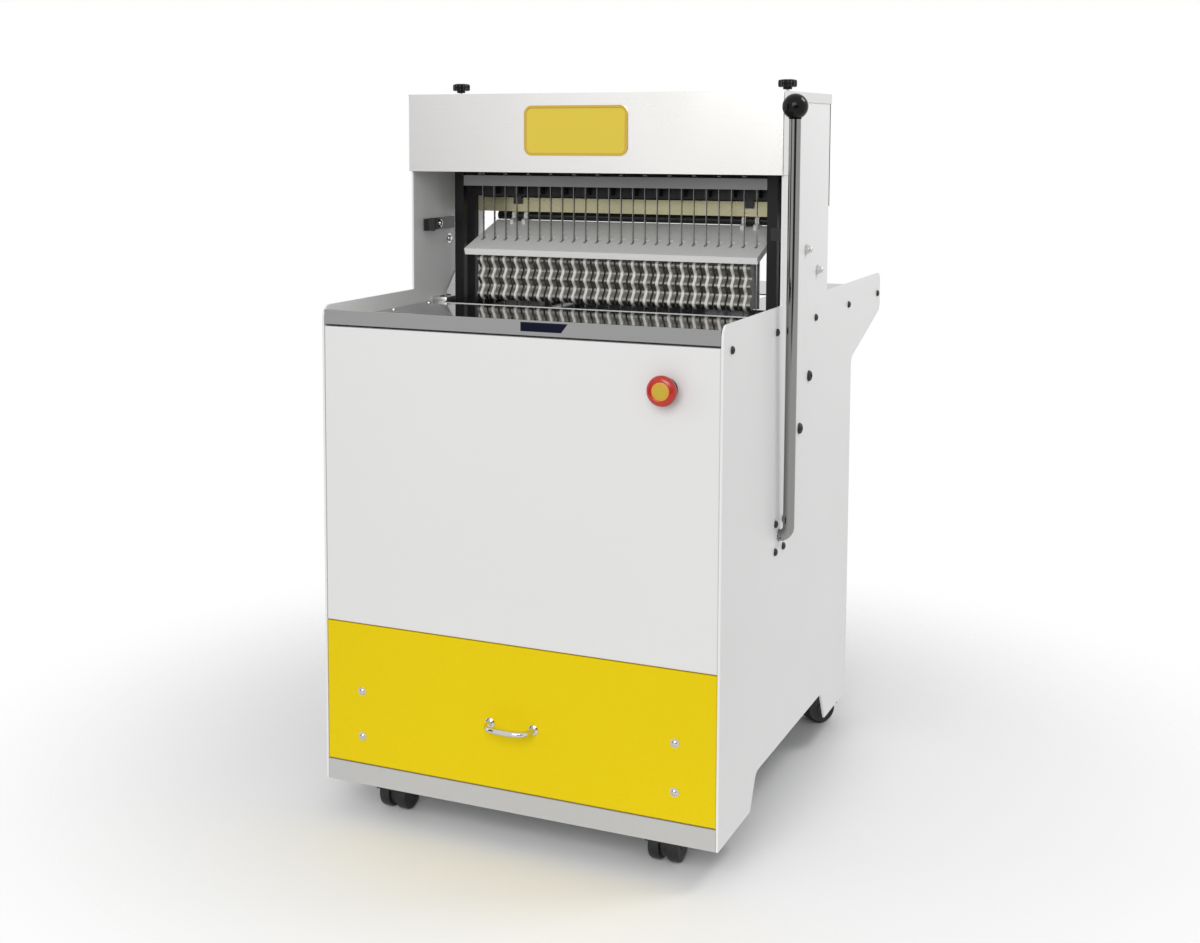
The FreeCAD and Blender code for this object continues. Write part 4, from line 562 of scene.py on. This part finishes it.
def scalloped_blade(bm, x, y0, y1, z0, z1):
    """Strip with a scalloped, thinned edge towards the loaf."""
    place = Matrix.Translation(mm(x, (y0 + y1) / 2, (z0 + z1) / 2))
    size = Matrix.Diagonal((BLADE_HALF_T * 2 / 1000, (y1 - y0) / 1000, (z1 - z0) / 1000, 1))
    made = bmesh.ops.create_cube(bm, size=1.0, matrix=place @ size)["verts"]
    upright = [e for e in {e for v in made for e in v.link_edges}
               if abs(e.verts[0].co.z - e.verts[1].co.z) > 0.1]
    cuts = int((z1 - z0) / TOOTH) * STEPS_PER_TOOTH - 1
    inner = bmesh.ops.subdivide_edges(bm, edges=upright, cuts=cuts, use_grid_fill=True)["geom_inner"]
    edge_y, middle_x, low_z = mm(x, y1, z0).y, mm(x, y1, z0).x, mm(x, y1, z0).z
    for vert in picked(inner, BMVert):
        if abs(vert.co.y - edge_y) < 1e-6:
            phase = (vert.co.z - low_z) * 1000 / TOOTH
            vert.co.y -= TOOTH_DEPTH / 1000 * abs(math.sin(math.pi * phase))
            vert.co.x = middle_x + (vert.co.x - middle_x) * EDGE_SHARE


def blades(node, body, piece):
    """One frame's blades with the square heads that they hang by."""
    low, high = span(node)
    first, last = low.x + HEAD_HALF, high.x - HEAD_HALF
    bm = bmesh.new()
    for i in range(BLADES_PER_FRAME):
        x = first + (last - first) * i / (BLADES_PER_FRAME - 1)
        scalloped_blade(bm, x, low.y, high.y, low.z + HEAD_H / 2, high.z - HEAD_H / 2)
        for z in (low.z, high.z - HEAD_H):
            block(bm, (x - HEAD_HALF, low.y, z), (x + HEAD_HALF, high.y, z + HEAD_H), 0.5)
    add_piece(piece, bm, body, [BLADE_STEEL], [node])


# --- star knobs, emergency stop, badge --------------------------------------
KNOB_H = 14.5
KNOB_LOBES = 5
LOBE_SHARE = 0.17       # how far a lobe stands out, as a share of the radius
STOP_DISC_R = 9.4
STOP_RING_R = 11.9
STOP_BORE_R = 11.4


def star_knob(side):
    """Five-lobed moulding on a thin stud."""
    low, high = span("star_knob_" + side)
    middle = (low + high) / 2
    top = high.z
    hub_low = top - KNOB_H
    bm = bmesh.new()

    def lobes(angle, ring):
        return 1.0 + LOBE_SHARE * math.cos(KNOB_LOBES * angle)

    profile = [(8.0, hub_low + 3.0), (11.2, hub_low + 3.6), (12.0, hub_low + 5.5), (12.0, top - 3.0),
               (11.2, top - 1.0), (8.0, top), (3.5, top), (3.0, top - 0.8)]
    turned(bm, profile, along(Z, mm(middle.x, middle.y, 0)), 60, lobes)
    rod(bm, 6.5, (middle.x, middle.y, hub_low), (middle.x, middle.y, hub_low + 4), 32, 0.5)
    rod(bm, 3.0, (middle.x, middle.y, low.z), (middle.x, middle.y, hub_low + 1), 20, 0.3, material=1)
    add_piece("star_grip_" + side, bm, "knob_" + side, [GLOSS_BLACK, NICKEL],
              ["star_knob_" + side])


def emergency_stop():
    """Flat mushroom head with a yellow disc in an amber ring, and its collar."""
    low, high = span("stop_button")
    middle = (low + high) / 2
    front = along(-Y, mm(middle.x, 0, middle.z))
    face = -low.y
    bm = bmesh.new()
    profile = [(11.0, -high.y), (11.0, face - 10.0), (18.6, face - 9.6), (19.7, face - 8.6),
               (20.0, face - 6.6), (19.4, face - 3.8), (17.8, face - 1.6), (15.6, face - 0.5),
               (13.2, face), (12.4, face - 0.3), (12.0, face - 1.2)]
    turned(bm, profile, front, 48)
    add_piece("stop_mushroom", bm, "stop", [RED_MOULDING], ["stop_button"])
    bm = bmesh.new()
    turned(bm, [(STOP_DISC_R, face - 2.0), (STOP_DISC_R, face - 0.5), (8.8, face - 0.1), (0.5, face)],
           front, 40)
    turned(bm, [(STOP_RING_R, face - 3.0), (STOP_RING_R, face - 0.9), (11.0, face - 0.4),
                (9.0, face - 0.4)], front, 40, material=1)
    add_piece("stop_centre", bm, "stop", [YELLOW_MOULDING, AMBER_MOULDING])

    low, high = span("stop_base")
    bm = bmesh.new()
    collar = -low.y
    turned(bm, [(15.0, 0.0), (15.0, collar - 1.5), (14.2, collar), (11.6, collar),
                (STOP_BORE_R, collar - 1.0), (STOP_BORE_R, 0.5)], front, 40)
    turned(bm, [(13.0, -high.y), (13.0, 0.0), (STOP_BORE_R, 0.0), (STOP_BORE_R, -high.y + 2.0)], front, 32)
    add_piece("stop_collar", bm, "root", [GLOSS_BLACK], ["stop_base"])


BADGE_R = 12.0
BADGE_RIM = 4.0
BADGE_SINK = 0.7        # the plate lies this deep in its rim


def badge():
    """Bare yellow plate inside a raised gold rim."""
    low, high = span("badge_plate")
    bm = bmesh.new()
    size = Matrix.Diagonal(((high.x - low.x) / 1000, (high.z - low.z) / 1000, 1, 1))
    middle = mm((low.x + high.x) / 2, high.y, (low.z + high.z) / 2)
    place = Matrix.Translation(middle) @ Matrix.Rotation(math.pi / 2, 4, "X")
    bmesh.ops.create_grid(bm, x_segments=1, y_segments=1, size=0.5, matrix=place @ size)
    bmesh.ops.bevel(bm, geom=bm.verts[:], offset=BADGE_R / 1000, affect="VERTICES", segments=8, profile=0.5,
                    material=-1)
    face = bm.faces[:][0]
    grown = bmesh.ops.extrude_face_region(bm, geom=[face])["geom"]
    front = picked(grown, BMFace)
    bmesh.ops.translate(bm, vec=Y * (low.y - high.y) / 1000, verts=picked(grown, BMVert))
    for thickness, sink in ((0.6, 0.0), (BADGE_RIM - 1.2, 0.0), (0.8, BADGE_SINK)):
        bmesh.ops.inset_region(bm, faces=front, thickness=thickness / 1000, depth=0.0)
        bmesh.ops.translate(bm, vec=Y * sink / 1000, verts=list(front[0].verts))
    front[0].material_index = 1
    add_piece("badge_blank", bm, "root", [BADGE_GOLD, BADGE_YELLOW], ["badge_plate"])


# --- drawer furniture -------------------------------------------------------
HANDLE_HALF = 32.0
HANDLE_Z = 168.0
HANDLE_R = 4.0
DRAWER_SCREW_R = 4.8


def bow_handle():
    """Round bar bowed outwards, on two small round feet."""
    low = span("drawer_handle")[0]
    curve = bpy.data.curves.new("bow", "CURVE")
    curve.dimensions = "3D"
    curve.bevel_depth = HANDLE_R / 1000
    curve.bevel_resolution = 6
    curve.resolution_u = 12
    curve.use_fill_caps = True
    line = curve.splines.new("NURBS")
    reach = low.y + HANDLE_R
    places = [(-1.0, 0.0), (-1.0, 0.34), (-0.93, 0.74), (-0.6, 1.0), (0.0, 1.02), (0.6, 1.0), (0.93, 0.74),
              (1.0, 0.34), (1.0, 0.0)]
    line.points.add(len(places) - 1)
    for point, (across, out) in zip(line.points, places):
        point.co = (*mm(across * HANDLE_HALF, out * reach, HANDLE_Z), 1)
    line.order_u = 4
    line.use_endpoint_u = True
    source = bpy.data.objects.new("bow", curve)
    mesh = bpy.data.meshes.new_from_object(source)
    bpy.data.objects.remove(source)
    bm = bmesh.new()
    bm.from_mesh(mesh)
    for side in (-1, 1):
        turned(bm, [(7.0, 0.0), (7.0, 1.2), (5.6, 2.2), (HANDLE_R, 2.4)],
               along(-Y, mm(side * HANDLE_HALF, 0, HANDLE_Z)), 28)
    add_piece("bow_handle", bm, "drawer", [NICKEL], ["drawer_handle"])


def drawer_fixings():
    """Domed screw heads on thin washers."""
    low, high = span("drawer_screws")
    head = DRAWER_SCREW_R
    bm = bmesh.new()
    for x in (low.x + head, high.x - head):
        for z in (low.z + head, high.z - head):
            place = along(-Y, mm(x, 0, z))
            profile = [(6.2, 0.0), (6.2, 0.6), (head, 0.8), (head * 0.93, 1.6), (head * 0.7, 2.6),
                       (head * 0.36, 3.2), (0.3, 3.4)]
            turned(bm, profile, place, 28)
            rod(bm, 3.0, (x, 5.0, z), (x, 0.0, z), 16)
    add_piece("drawer_fixings", bm, "drawer", [NICKEL], ["drawer_screws"])


# --- fasteners of the panels ------------------------------------------------
SOCKET_RING = 5         # the profile's first ring that belongs to the socket


def button_head(bm, place, radius, height, socket):
    """Round head with a hexagonal socket in its top."""
    def hex_socket(angle, ring):
        return hexagon(angle) if ring >= SOCKET_RING else 1.0

    profile = [(radius, 0.0), (radius, height * 0.25), (radius * 0.93, height * 0.62),
               (radius * 0.76, height * 0.9), (radius * 0.62, height), (socket, height),
               (socket, height * 0.35)]
    turned(bm, profile, place, 36, hex_socket)


SCREW_Z = 688.5
SCREW_Y = (34.0, 236.0, 438.0, 640.0, 842.0)
LEVER_SQUARE = 19.7
BIG_BOLTS = ((404.0, 606.0), (356.0, 536.0))
SCREW_HEAD = (5.3, 3.3, 2.1)    # radius, height, socket
BOLT_HEAD = (8.0, 4.5, 3.4)
STUDS = ((379.0, 793.0), (442.0, 759.0))


def panel_fasteners():
    """Button heads, large bolts and nutted studs on both side panels."""
    places = [(y, SCREW_Z) for y in SCREW_Y]
    places += [(LEVER_CORNER.y + a * LEVER_SQUARE, LEVER_CORNER.z + b * LEVER_SQUARE)
               for a in (-1, 1) for b in (-1, 1)]
    screws = bmesh.new()
    studs = bmesh.new()
    for side in (-1, 1):
        out = X * side
        for y, z in places:
            button_head(screws, along(out, mm(side * PANEL_X, y, z)), *SCREW_HEAD)
        for y, z in BIG_BOLTS:
            button_head(screws, along(out, mm(side * PANEL_X, y, z)), *BOLT_HEAD)
        for y, z in STUDS:
            place = along(out, mm(side * PANEL_X, y, z))
            turned(studs, [(8.0, 0.0), (8.0, 1.0), (6.4, 1.0)], place, 32)
            turned(studs, [(6.9, 1.0), (6.9, 4.2), (6.2, 4.8), (4.0, 4.8)], place, 36,
                   lambda angle, ring: hexagon(angle))
            turned(studs, [(4.0, 4.0), (4.0, 8.2), (3.2, 9.0), (0.5, 9.0)], place, 24)
    add_piece("panel_button_heads", screws, "root", [BLACK_OXIDE], ["panel_screws"])
    add_piece("panel_studs", studs, "root", [BRUSHED], ["panel_bolts"])


# --- castors ----------------------------------------------------------------
WHEEL_R = 25.0
WHEEL_W = 17.0
WEB_HALF = 4.5
TRAIL = 18.0
HOOD_R = 28.5
HOOD_SPARE = 2.0        # room beside the wheels
HOOD_START = math.radians(-12)
HOOD_SWEEP = math.radians(150)
HOOD_TILT = math.radians(27)
SOCKET_Z = 65.7


def castor(name, x, y, heading):
    """Hooded twin-wheel castor: wheels with a tread, a hub and a curved hood."""
    swing = Matrix.Translation(mm(x, y, 0)) @ Matrix.Rotation(math.radians(heading), 4, "Z")
    axle = Vector((0, -TRAIL, WHEEL_R)) / 1000
    bm = bmesh.new()
    for side in (-1, 1):
        place = swing @ along(X * side, axle)
        inner = WEB_HALF + 0.3
        outer = inner + WHEEL_W
        profile = [(6.0, inner), (22.0, inner), (24.2, inner + 0.8), (WHEEL_R, inner + 3.0),
                   (WHEEL_R, outer - 4.5), (24.0, outer - 1.6), (21.5, outer - 0.6), (20.0, outer - 1.6),
                   (17.0, outer - 2.2), (9.0, outer - 1.6), (7.5, outer - 0.4), (0.6, outer)]
        turned(bm, profile, place, 48)
    turned(bm, [(4.0, -WEB_HALF - 3), (4.0, WEB_HALF + 3)], swing @ along(X, axle), 20)
    add_piece("castor_rollers_" + name, bm, "castor_wheels_" + name, [SOFT_BLACK],
              ["castor_wheels_" + name])

    bm = bmesh.new()
    width = 2 * (WEB_HALF + WHEEL_W + HOOD_SPARE) / 1000
    inner, outer = (WHEEL_R + 1) / 1000, HOOD_R / 1000
    bmesh.ops.create_grid(bm, x_segments=1, y_segments=1, size=0.5,
                          matrix=Matrix.Translation(axle) @ Matrix.Rotation(HOOD_START, 4, "X")
                          @ Matrix.Translation(Y * (inner + outer) / 2)
                          @ Matrix.Diagonal((width, outer - inner, 1, 1)))
    face = bm.faces[:][0]
    bmesh.ops.spin(bm, geom=[face, *face.edges, *face.verts], cent=axle, axis=X, angle=HOOD_SWEEP, steps=20)
    bmesh.ops.transform(bm, matrix=Matrix.Translation(axle) @ Matrix.Rotation(HOOD_TILT, 4, "X")
                        @ Matrix.Translation(-axle), verts=bm.verts)
    turned(bm, [(20.0, -WEB_HALF), (20.0, WEB_HALF)], along(X, axle), 36)
    turned(bm, [(4.9, SOCKET_Z + 28), (5.0, SOCKET_Z), (8.0, SOCKET_Z), (10.6, SOCKET_Z - 2.0),
                (11.0, SOCKET_Z - 8.0), (11.0, 47.0)], Matrix.Identity(4), 32)
    bmesh.ops.create_cube(bm, size=1.0, matrix=Matrix.Translation((0, -0.008, 0.042))
                          @ Matrix.Diagonal((WEB_HALF / 500, 0.026, 0.022, 1)))
    bmesh.ops.transform(bm, matrix=swing, verts=bm.verts)
    add_piece("castor_hood_" + name, bm, "castor_" + name, [SOFT_BLACK], ["castor_" + name])


CASTORS = (("front_left", -203.0, 75.0, 0.0), ("front_right", 203.0, 75.0, 0.0),
           ("rear_left", -232.0, 636.0, -135.0), ("rear_right", 232.0, 636.0, 135.0))


# --- labels and small fixings on the tables ---------------------------------
LABEL_LOW, LABEL_HIGH = (13.0, -0.3, 702.2), (80.0, 0.05, 714.4)
LABEL_SLANT_FROM = 60.0
LABEL_SLANT = 9.0       # the label's lower right corner stands in by this much
ROLL_R = 3.6
ROLL_HALF = 257.0
ROLL_Y, ROLL_Z = 295.0, 697.4
TABLE_SCREW_X = 278.0
TABLE_SCREW_Y = (180.0, 290.0)


def table_details():
    """Blank label on the lip, the table's rolled rear edge and small screws along it."""
    bm = bmesh.new()
    block(bm, LABEL_LOW, LABEL_HIGH, 0.12)
    right, middle_z = mm(LABEL_SLANT_FROM, 0, 0).x, (LABEL_LOW[2] + LABEL_HIGH[2]) / 2000
    for vert in bm.verts:
        if vert.co.x > right and vert.co.z < middle_z:
            vert.co.x -= LABEL_SLANT / 1000
    add_piece("blank_label", bm, "root", [NAVY_LABEL])
    bm = bmesh.new()
    rod(bm, ROLL_R, (-ROLL_HALF, ROLL_Y, ROLL_Z), (ROLL_HALF, ROLL_Y, ROLL_Z), 24, 0.4)
    add_piece("rolled_edge", bm, "root", [EDGE_PAINTED_HIGHLIGHT])
    bm = bmesh.new()
    for x in (-TABLE_SCREW_X, TABLE_SCREW_X):
        for y in TABLE_SCREW_Y:
            turned(bm, [(4.2, 700.0), (4.0, 701.2), (2.6, 702.2), (0.4, 702.4)],
                   Matrix.Translation(mm(x, y, 0)), 24)
    add_piece("table_screws", bm, "root", [BRUSHED])


# --- brackets inside the throat ---------------------------------------------
INNER_X = 287.0
STRAP_T = 3.0
STRAP_BEND = 9.0
STRAP_Y = (284.0, 388.0)
STRAP_H = 18.0
STRAP_TAB = 22.0
WALL_SCREW = (375.0, 794.0)
STRAP_SCREW_Y = 340.0
FOOT = ((262.0, 318.0, 691.0), (287.0, 358.0, 706.0))
GUSSET = ((284.0, 362.0, 693.0), (287.0, 392.0, 741.0))
GUSSET_FRONT_Z = 712.0
FOOT_SCREW_X = 274.0
FOOT_SCREW_IN = 9.0


def bent_strap(bm, side, y0, y1, z0, z1, tab):
    """Flat strap on a wall whose front end turns inwards through an arc."""
    bend_y = y0 + STRAP_BEND
    wall_x = side * (INNER_X - STRAP_T / 2)
    place = Matrix.Translation(mm(wall_x, bend_y, (z0 + z1) / 2)) @ Matrix.Rotation(math.pi / 2, 4, "X")
    size = Matrix.Diagonal((STRAP_T / 1000, (z1 - z0) / 1000, 1, 1))
    bmesh.ops.create_grid(bm, x_segments=1, y_segments=1, size=0.5, matrix=place @ size)
    face = bm.faces[:][-1]
    rear = bmesh.ops.extrude_face_region(bm, geom=[face], use_keep_orig=True)["geom"]
    bmesh.ops.translate(bm, vec=Y * (y1 - bend_y) / 1000, verts=picked(rear, BMVert))
    centre = mm(side * (INNER_X - STRAP_BEND), bend_y, 0)
    turned_end = bmesh.ops.spin(bm, geom=[face, *face.edges, *face.verts], cent=centre, axis=Z,
                                angle=-side * math.pi / 2, steps=8)["geom_last"]
    nose = bmesh.ops.extrude_face_region(bm, geom=picked(turned_end, BMFace))["geom"]
    bmesh.ops.translate(bm, vec=X * -side * (tab - STRAP_BEND) / 1000, verts=picked(nose, BMVert))


def throat_brackets():
    """Dark strap, its screws, a light gusset and a foot block on each wall."""
    strap_top = span("throat_brackets")[1].z
    strap_z = (strap_top - STRAP_H, strap_top)
    straps, screws, gussets, feet = (bmesh.new() for _ in range(4))
    for side in (-1, 1):
        bent_strap(straps, side, *STRAP_Y, *strap_z, STRAP_TAB)
        inward = -X * side
        turned(screws, [(6.6, 0.0), (6.6, 0.8), (4.4, 0.9), (4.0, 2.2), (2.6, 3.0), (0.4, 3.2)],
               along(inward, mm(side * (INNER_X - STRAP_T), STRAP_SCREW_Y, sum(strap_z) / 2)), 28)
        turned(screws, [(8.0, 0.0), (8.0, 1.0), (4.8, 1.1), (4.6, 3.4), (3.4, 4.4), (0.4, 4.6)],
               along(inward, mm(side * INNER_X, *WALL_SCREW)), 28)
        for bm, (near, far), edge in ((gussets, GUSSET, 0.0), (feet, FOOT, 1.2)):
            x0, x1 = sorted((side * near[0], side * far[0]))
            block(bm, (x0, *near[1:]), (x1, *far[1:]), edge)
        for y in (FOOT[0][1] + FOOT_SCREW_IN, FOOT[1][1] - FOOT_SCREW_IN):
            turned(feet, [(3.4, 0.0), (3.2, 1.4), (1.8, 1.5), (1.8, 0.6)],
                   Matrix.Translation(mm(side * FOOT_SCREW_X, y, FOOT[1][2])), 24, material=1)
    top, front = mm(*GUSSET[1]).z, mm(*GUSSET[0]).y
    for vert in gussets.verts:
        if abs(vert.co.z - top) < 1e-6 and abs(vert.co.y - front) < 1e-6:
            vert.co.z = mm(0, 0, GUSSET_FRONT_Z).z
    add_piece("wall_straps", straps, "root", [GLOSS_STEEL], ["throat_brackets"])
    add_piece("wall_screws", screws, "root", [NICKEL])
    add_piece("wall_gussets", gussets, "root", [BRUSHED])
    add_piece("foot_blocks", feet, "root", [BRUSHED, BLACK_OXIDE])


# --- light, floor, camera ---------------------------------------------------
CAMERA = (906.504, -1915.063, 959.654)
YAW, PITCH = 25.0272, 5.1893
PICTURE_PX = (1200.0, 943.0)
FOCAL_PX = 1628.476
CENTRE_PX = (519.967, 281.102)
SENSOR = 36.0
FLOOR_NEAR, FLOOR_FAR = 0.35, 1.15   # the floor fades out between these distances


def faded_floor(material):
    """Let the floor thin out into the white surround."""
    tree = material.node_tree
    link = tree.links.new
    fade = placed_group(tree, FADE, Near=FLOOR_NEAR, Far=FLOOR_FAR)
    clear = tree.nodes.new("ShaderNodeBsdfTransparent")
    blend = tree.nodes.new("ShaderNodeMixShader")
    link(fade.outputs["Mask"], blend.inputs["Fac"])
    link(tree.nodes["Principled BSDF"].outputs["BSDF"], blend.inputs[1])
    link(clear.outputs["BSDF"], blend.inputs[2])
    link(blend.outputs["Shader"], tree.nodes["Material Output"].inputs["Surface"])


def camera():
    """The view from the front, a little above the table and right of the middle."""
    data = bpy.data.cameras.new("camera")
    data.sensor_width = SENSOR
    wide, tall = PICTURE_PX
    data.lens = FOCAL_PX * SENSOR / wide
    data.shift_x = (wide / 2 - CENTRE_PX[0]) / wide
    data.shift_y = (CENTRE_PX[1] - tall / 2) / wide
    shooter = bpy.data.objects.new("camera", data)
    shooter.location = mm(*CAMERA)
    shooter.rotation_euler = (math.radians(90 - PITCH), 0, math.radians(YAW))
    bpy.context.scene.collection.objects.link(shooter)
    bpy.context.scene.camera = shooter


def softbox(name, place, target, size, power):
    """A soft rectangular lamp turned towards a target."""
    data = bpy.data.lights.new(name, "AREA")
    data.shape = "RECTANGLE"
    data.size, data.size_y = size
    data.energy = power
    lamp = bpy.data.objects.new(name, data)
    lamp.location = place
    lamp.rotation_euler = (Vector(target) - Vector(place)).to_track_quat("-Z", "Y").to_euler()
    bpy.context.scene.collection.objects.link(lamp)


def dark_flag(name, place, size):
    """Dark card to the side of the machine, which polished metal reflects as a band."""
    bm = bmesh.new()
    bmesh.ops.create_cube(bm, size=1.0, matrix=Matrix.Translation(place) @ Matrix.Diagonal((*size, 1)))
    mesh = bpy.data.meshes.new(name)
    bm.to_mesh(mesh)
    bm.free()
    mesh.materials.append(BLACK_OXIDE)
    card = bpy.data.objects.new(name, mesh)
    card.visible_camera = False
    card.visible_diffuse = False
    card.visible_shadow = False
    bpy.context.scene.collection.objects.link(card)


GLOSSY_LEVEL = 0.64     # how much of the white surround metal reflects
WORLD_LEVEL = 0.5       # light of the surround on everything else
SOFTBOXES = (           # place, target, size in metres and watts
    ("key", (0.6, -4.0, 2.3), (0, 0, 0.6), (2.6, 2.2), 72),
    ("fill", (-3.2, -2.4, 1.8), (0, 0, 0.5), (2.4, 2.4), 12),
    ("side_top", (1.2, 0.4, 1.9), (0.29, 0, 1.1), (0.6, 0.6), 10),
)
FLAGS = (               # place and size in metres
    ("flag_left", (-1.9, -2.0, 1.0), (0.05, 1.4, 2.4)),
    ("flag_behind", (1.8, -2.9, 0.8), (2.6, 0.05, 1.6)),
)


def studio():
    """White surround, soft lamps, dark cards for the metal and a pale floor."""
    scene = bpy.context.scene
    scene.view_settings.view_transform = "Standard"
    world = bpy.data.worlds.new("studio")
    scene.world = world
    world.use_nodes = True
    tree = world.node_tree
    background = tree.nodes["Background"]
    background.inputs["Color"].default_value = (1, 1, 1, 1)
    path = tree.nodes.new("ShaderNodeLightPath")
    clear = worked_out(tree, "MAXIMUM", path.outputs["Is Camera Ray"], path.outputs["Is Transmission Ray"])
    seen = worked_out(tree, "MULTIPLY_ADD", path.outputs["Is Glossy Ray"], GLOSSY_LEVEL, clear)
    level = tree.nodes.new("ShaderNodeMapRange")
    level.inputs["To Min"].default_value = WORLD_LEVEL
    level.inputs["To Max"].default_value = 1.0
    tree.links.new(seen, level.inputs["Value"])
    tree.links.new(level.outputs["Result"], background.inputs["Strength"])

    for lamp in SOFTBOXES:
        softbox(*lamp)
    for flag in FLAGS:
        dark_flag(*flag)

    bm = bmesh.new()
    bmesh.ops.create_grid(bm, x_segments=1, y_segments=1, size=FLOOR_FAR)
    mesh = bpy.data.meshes.new("floor")
    bm.to_mesh(mesh)
    bm.free()
    faded_floor(FLOOR_PALE)
    mesh.materials.append(FLOOR_PALE)
    floor = bpy.data.objects.new("floor", mesh)
    scene.collection.objects.link(floor)


lever()
blades("front_blades", "front_frame", "scalloped_blades_front")
blades("rear_blades", "rear_frame", "scalloped_blades_rear")
star_knob("left")
star_knob("right")
emergency_stop()
badge()
bow_handle()
drawer_fixings()
panel_fasteners()
for castor_name, castor_x, castor_y, castor_heading in CASTORS:
    castor(castor_name, castor_x, castor_y, castor_heading)
table_details()
throat_brackets()
studio()
camera()
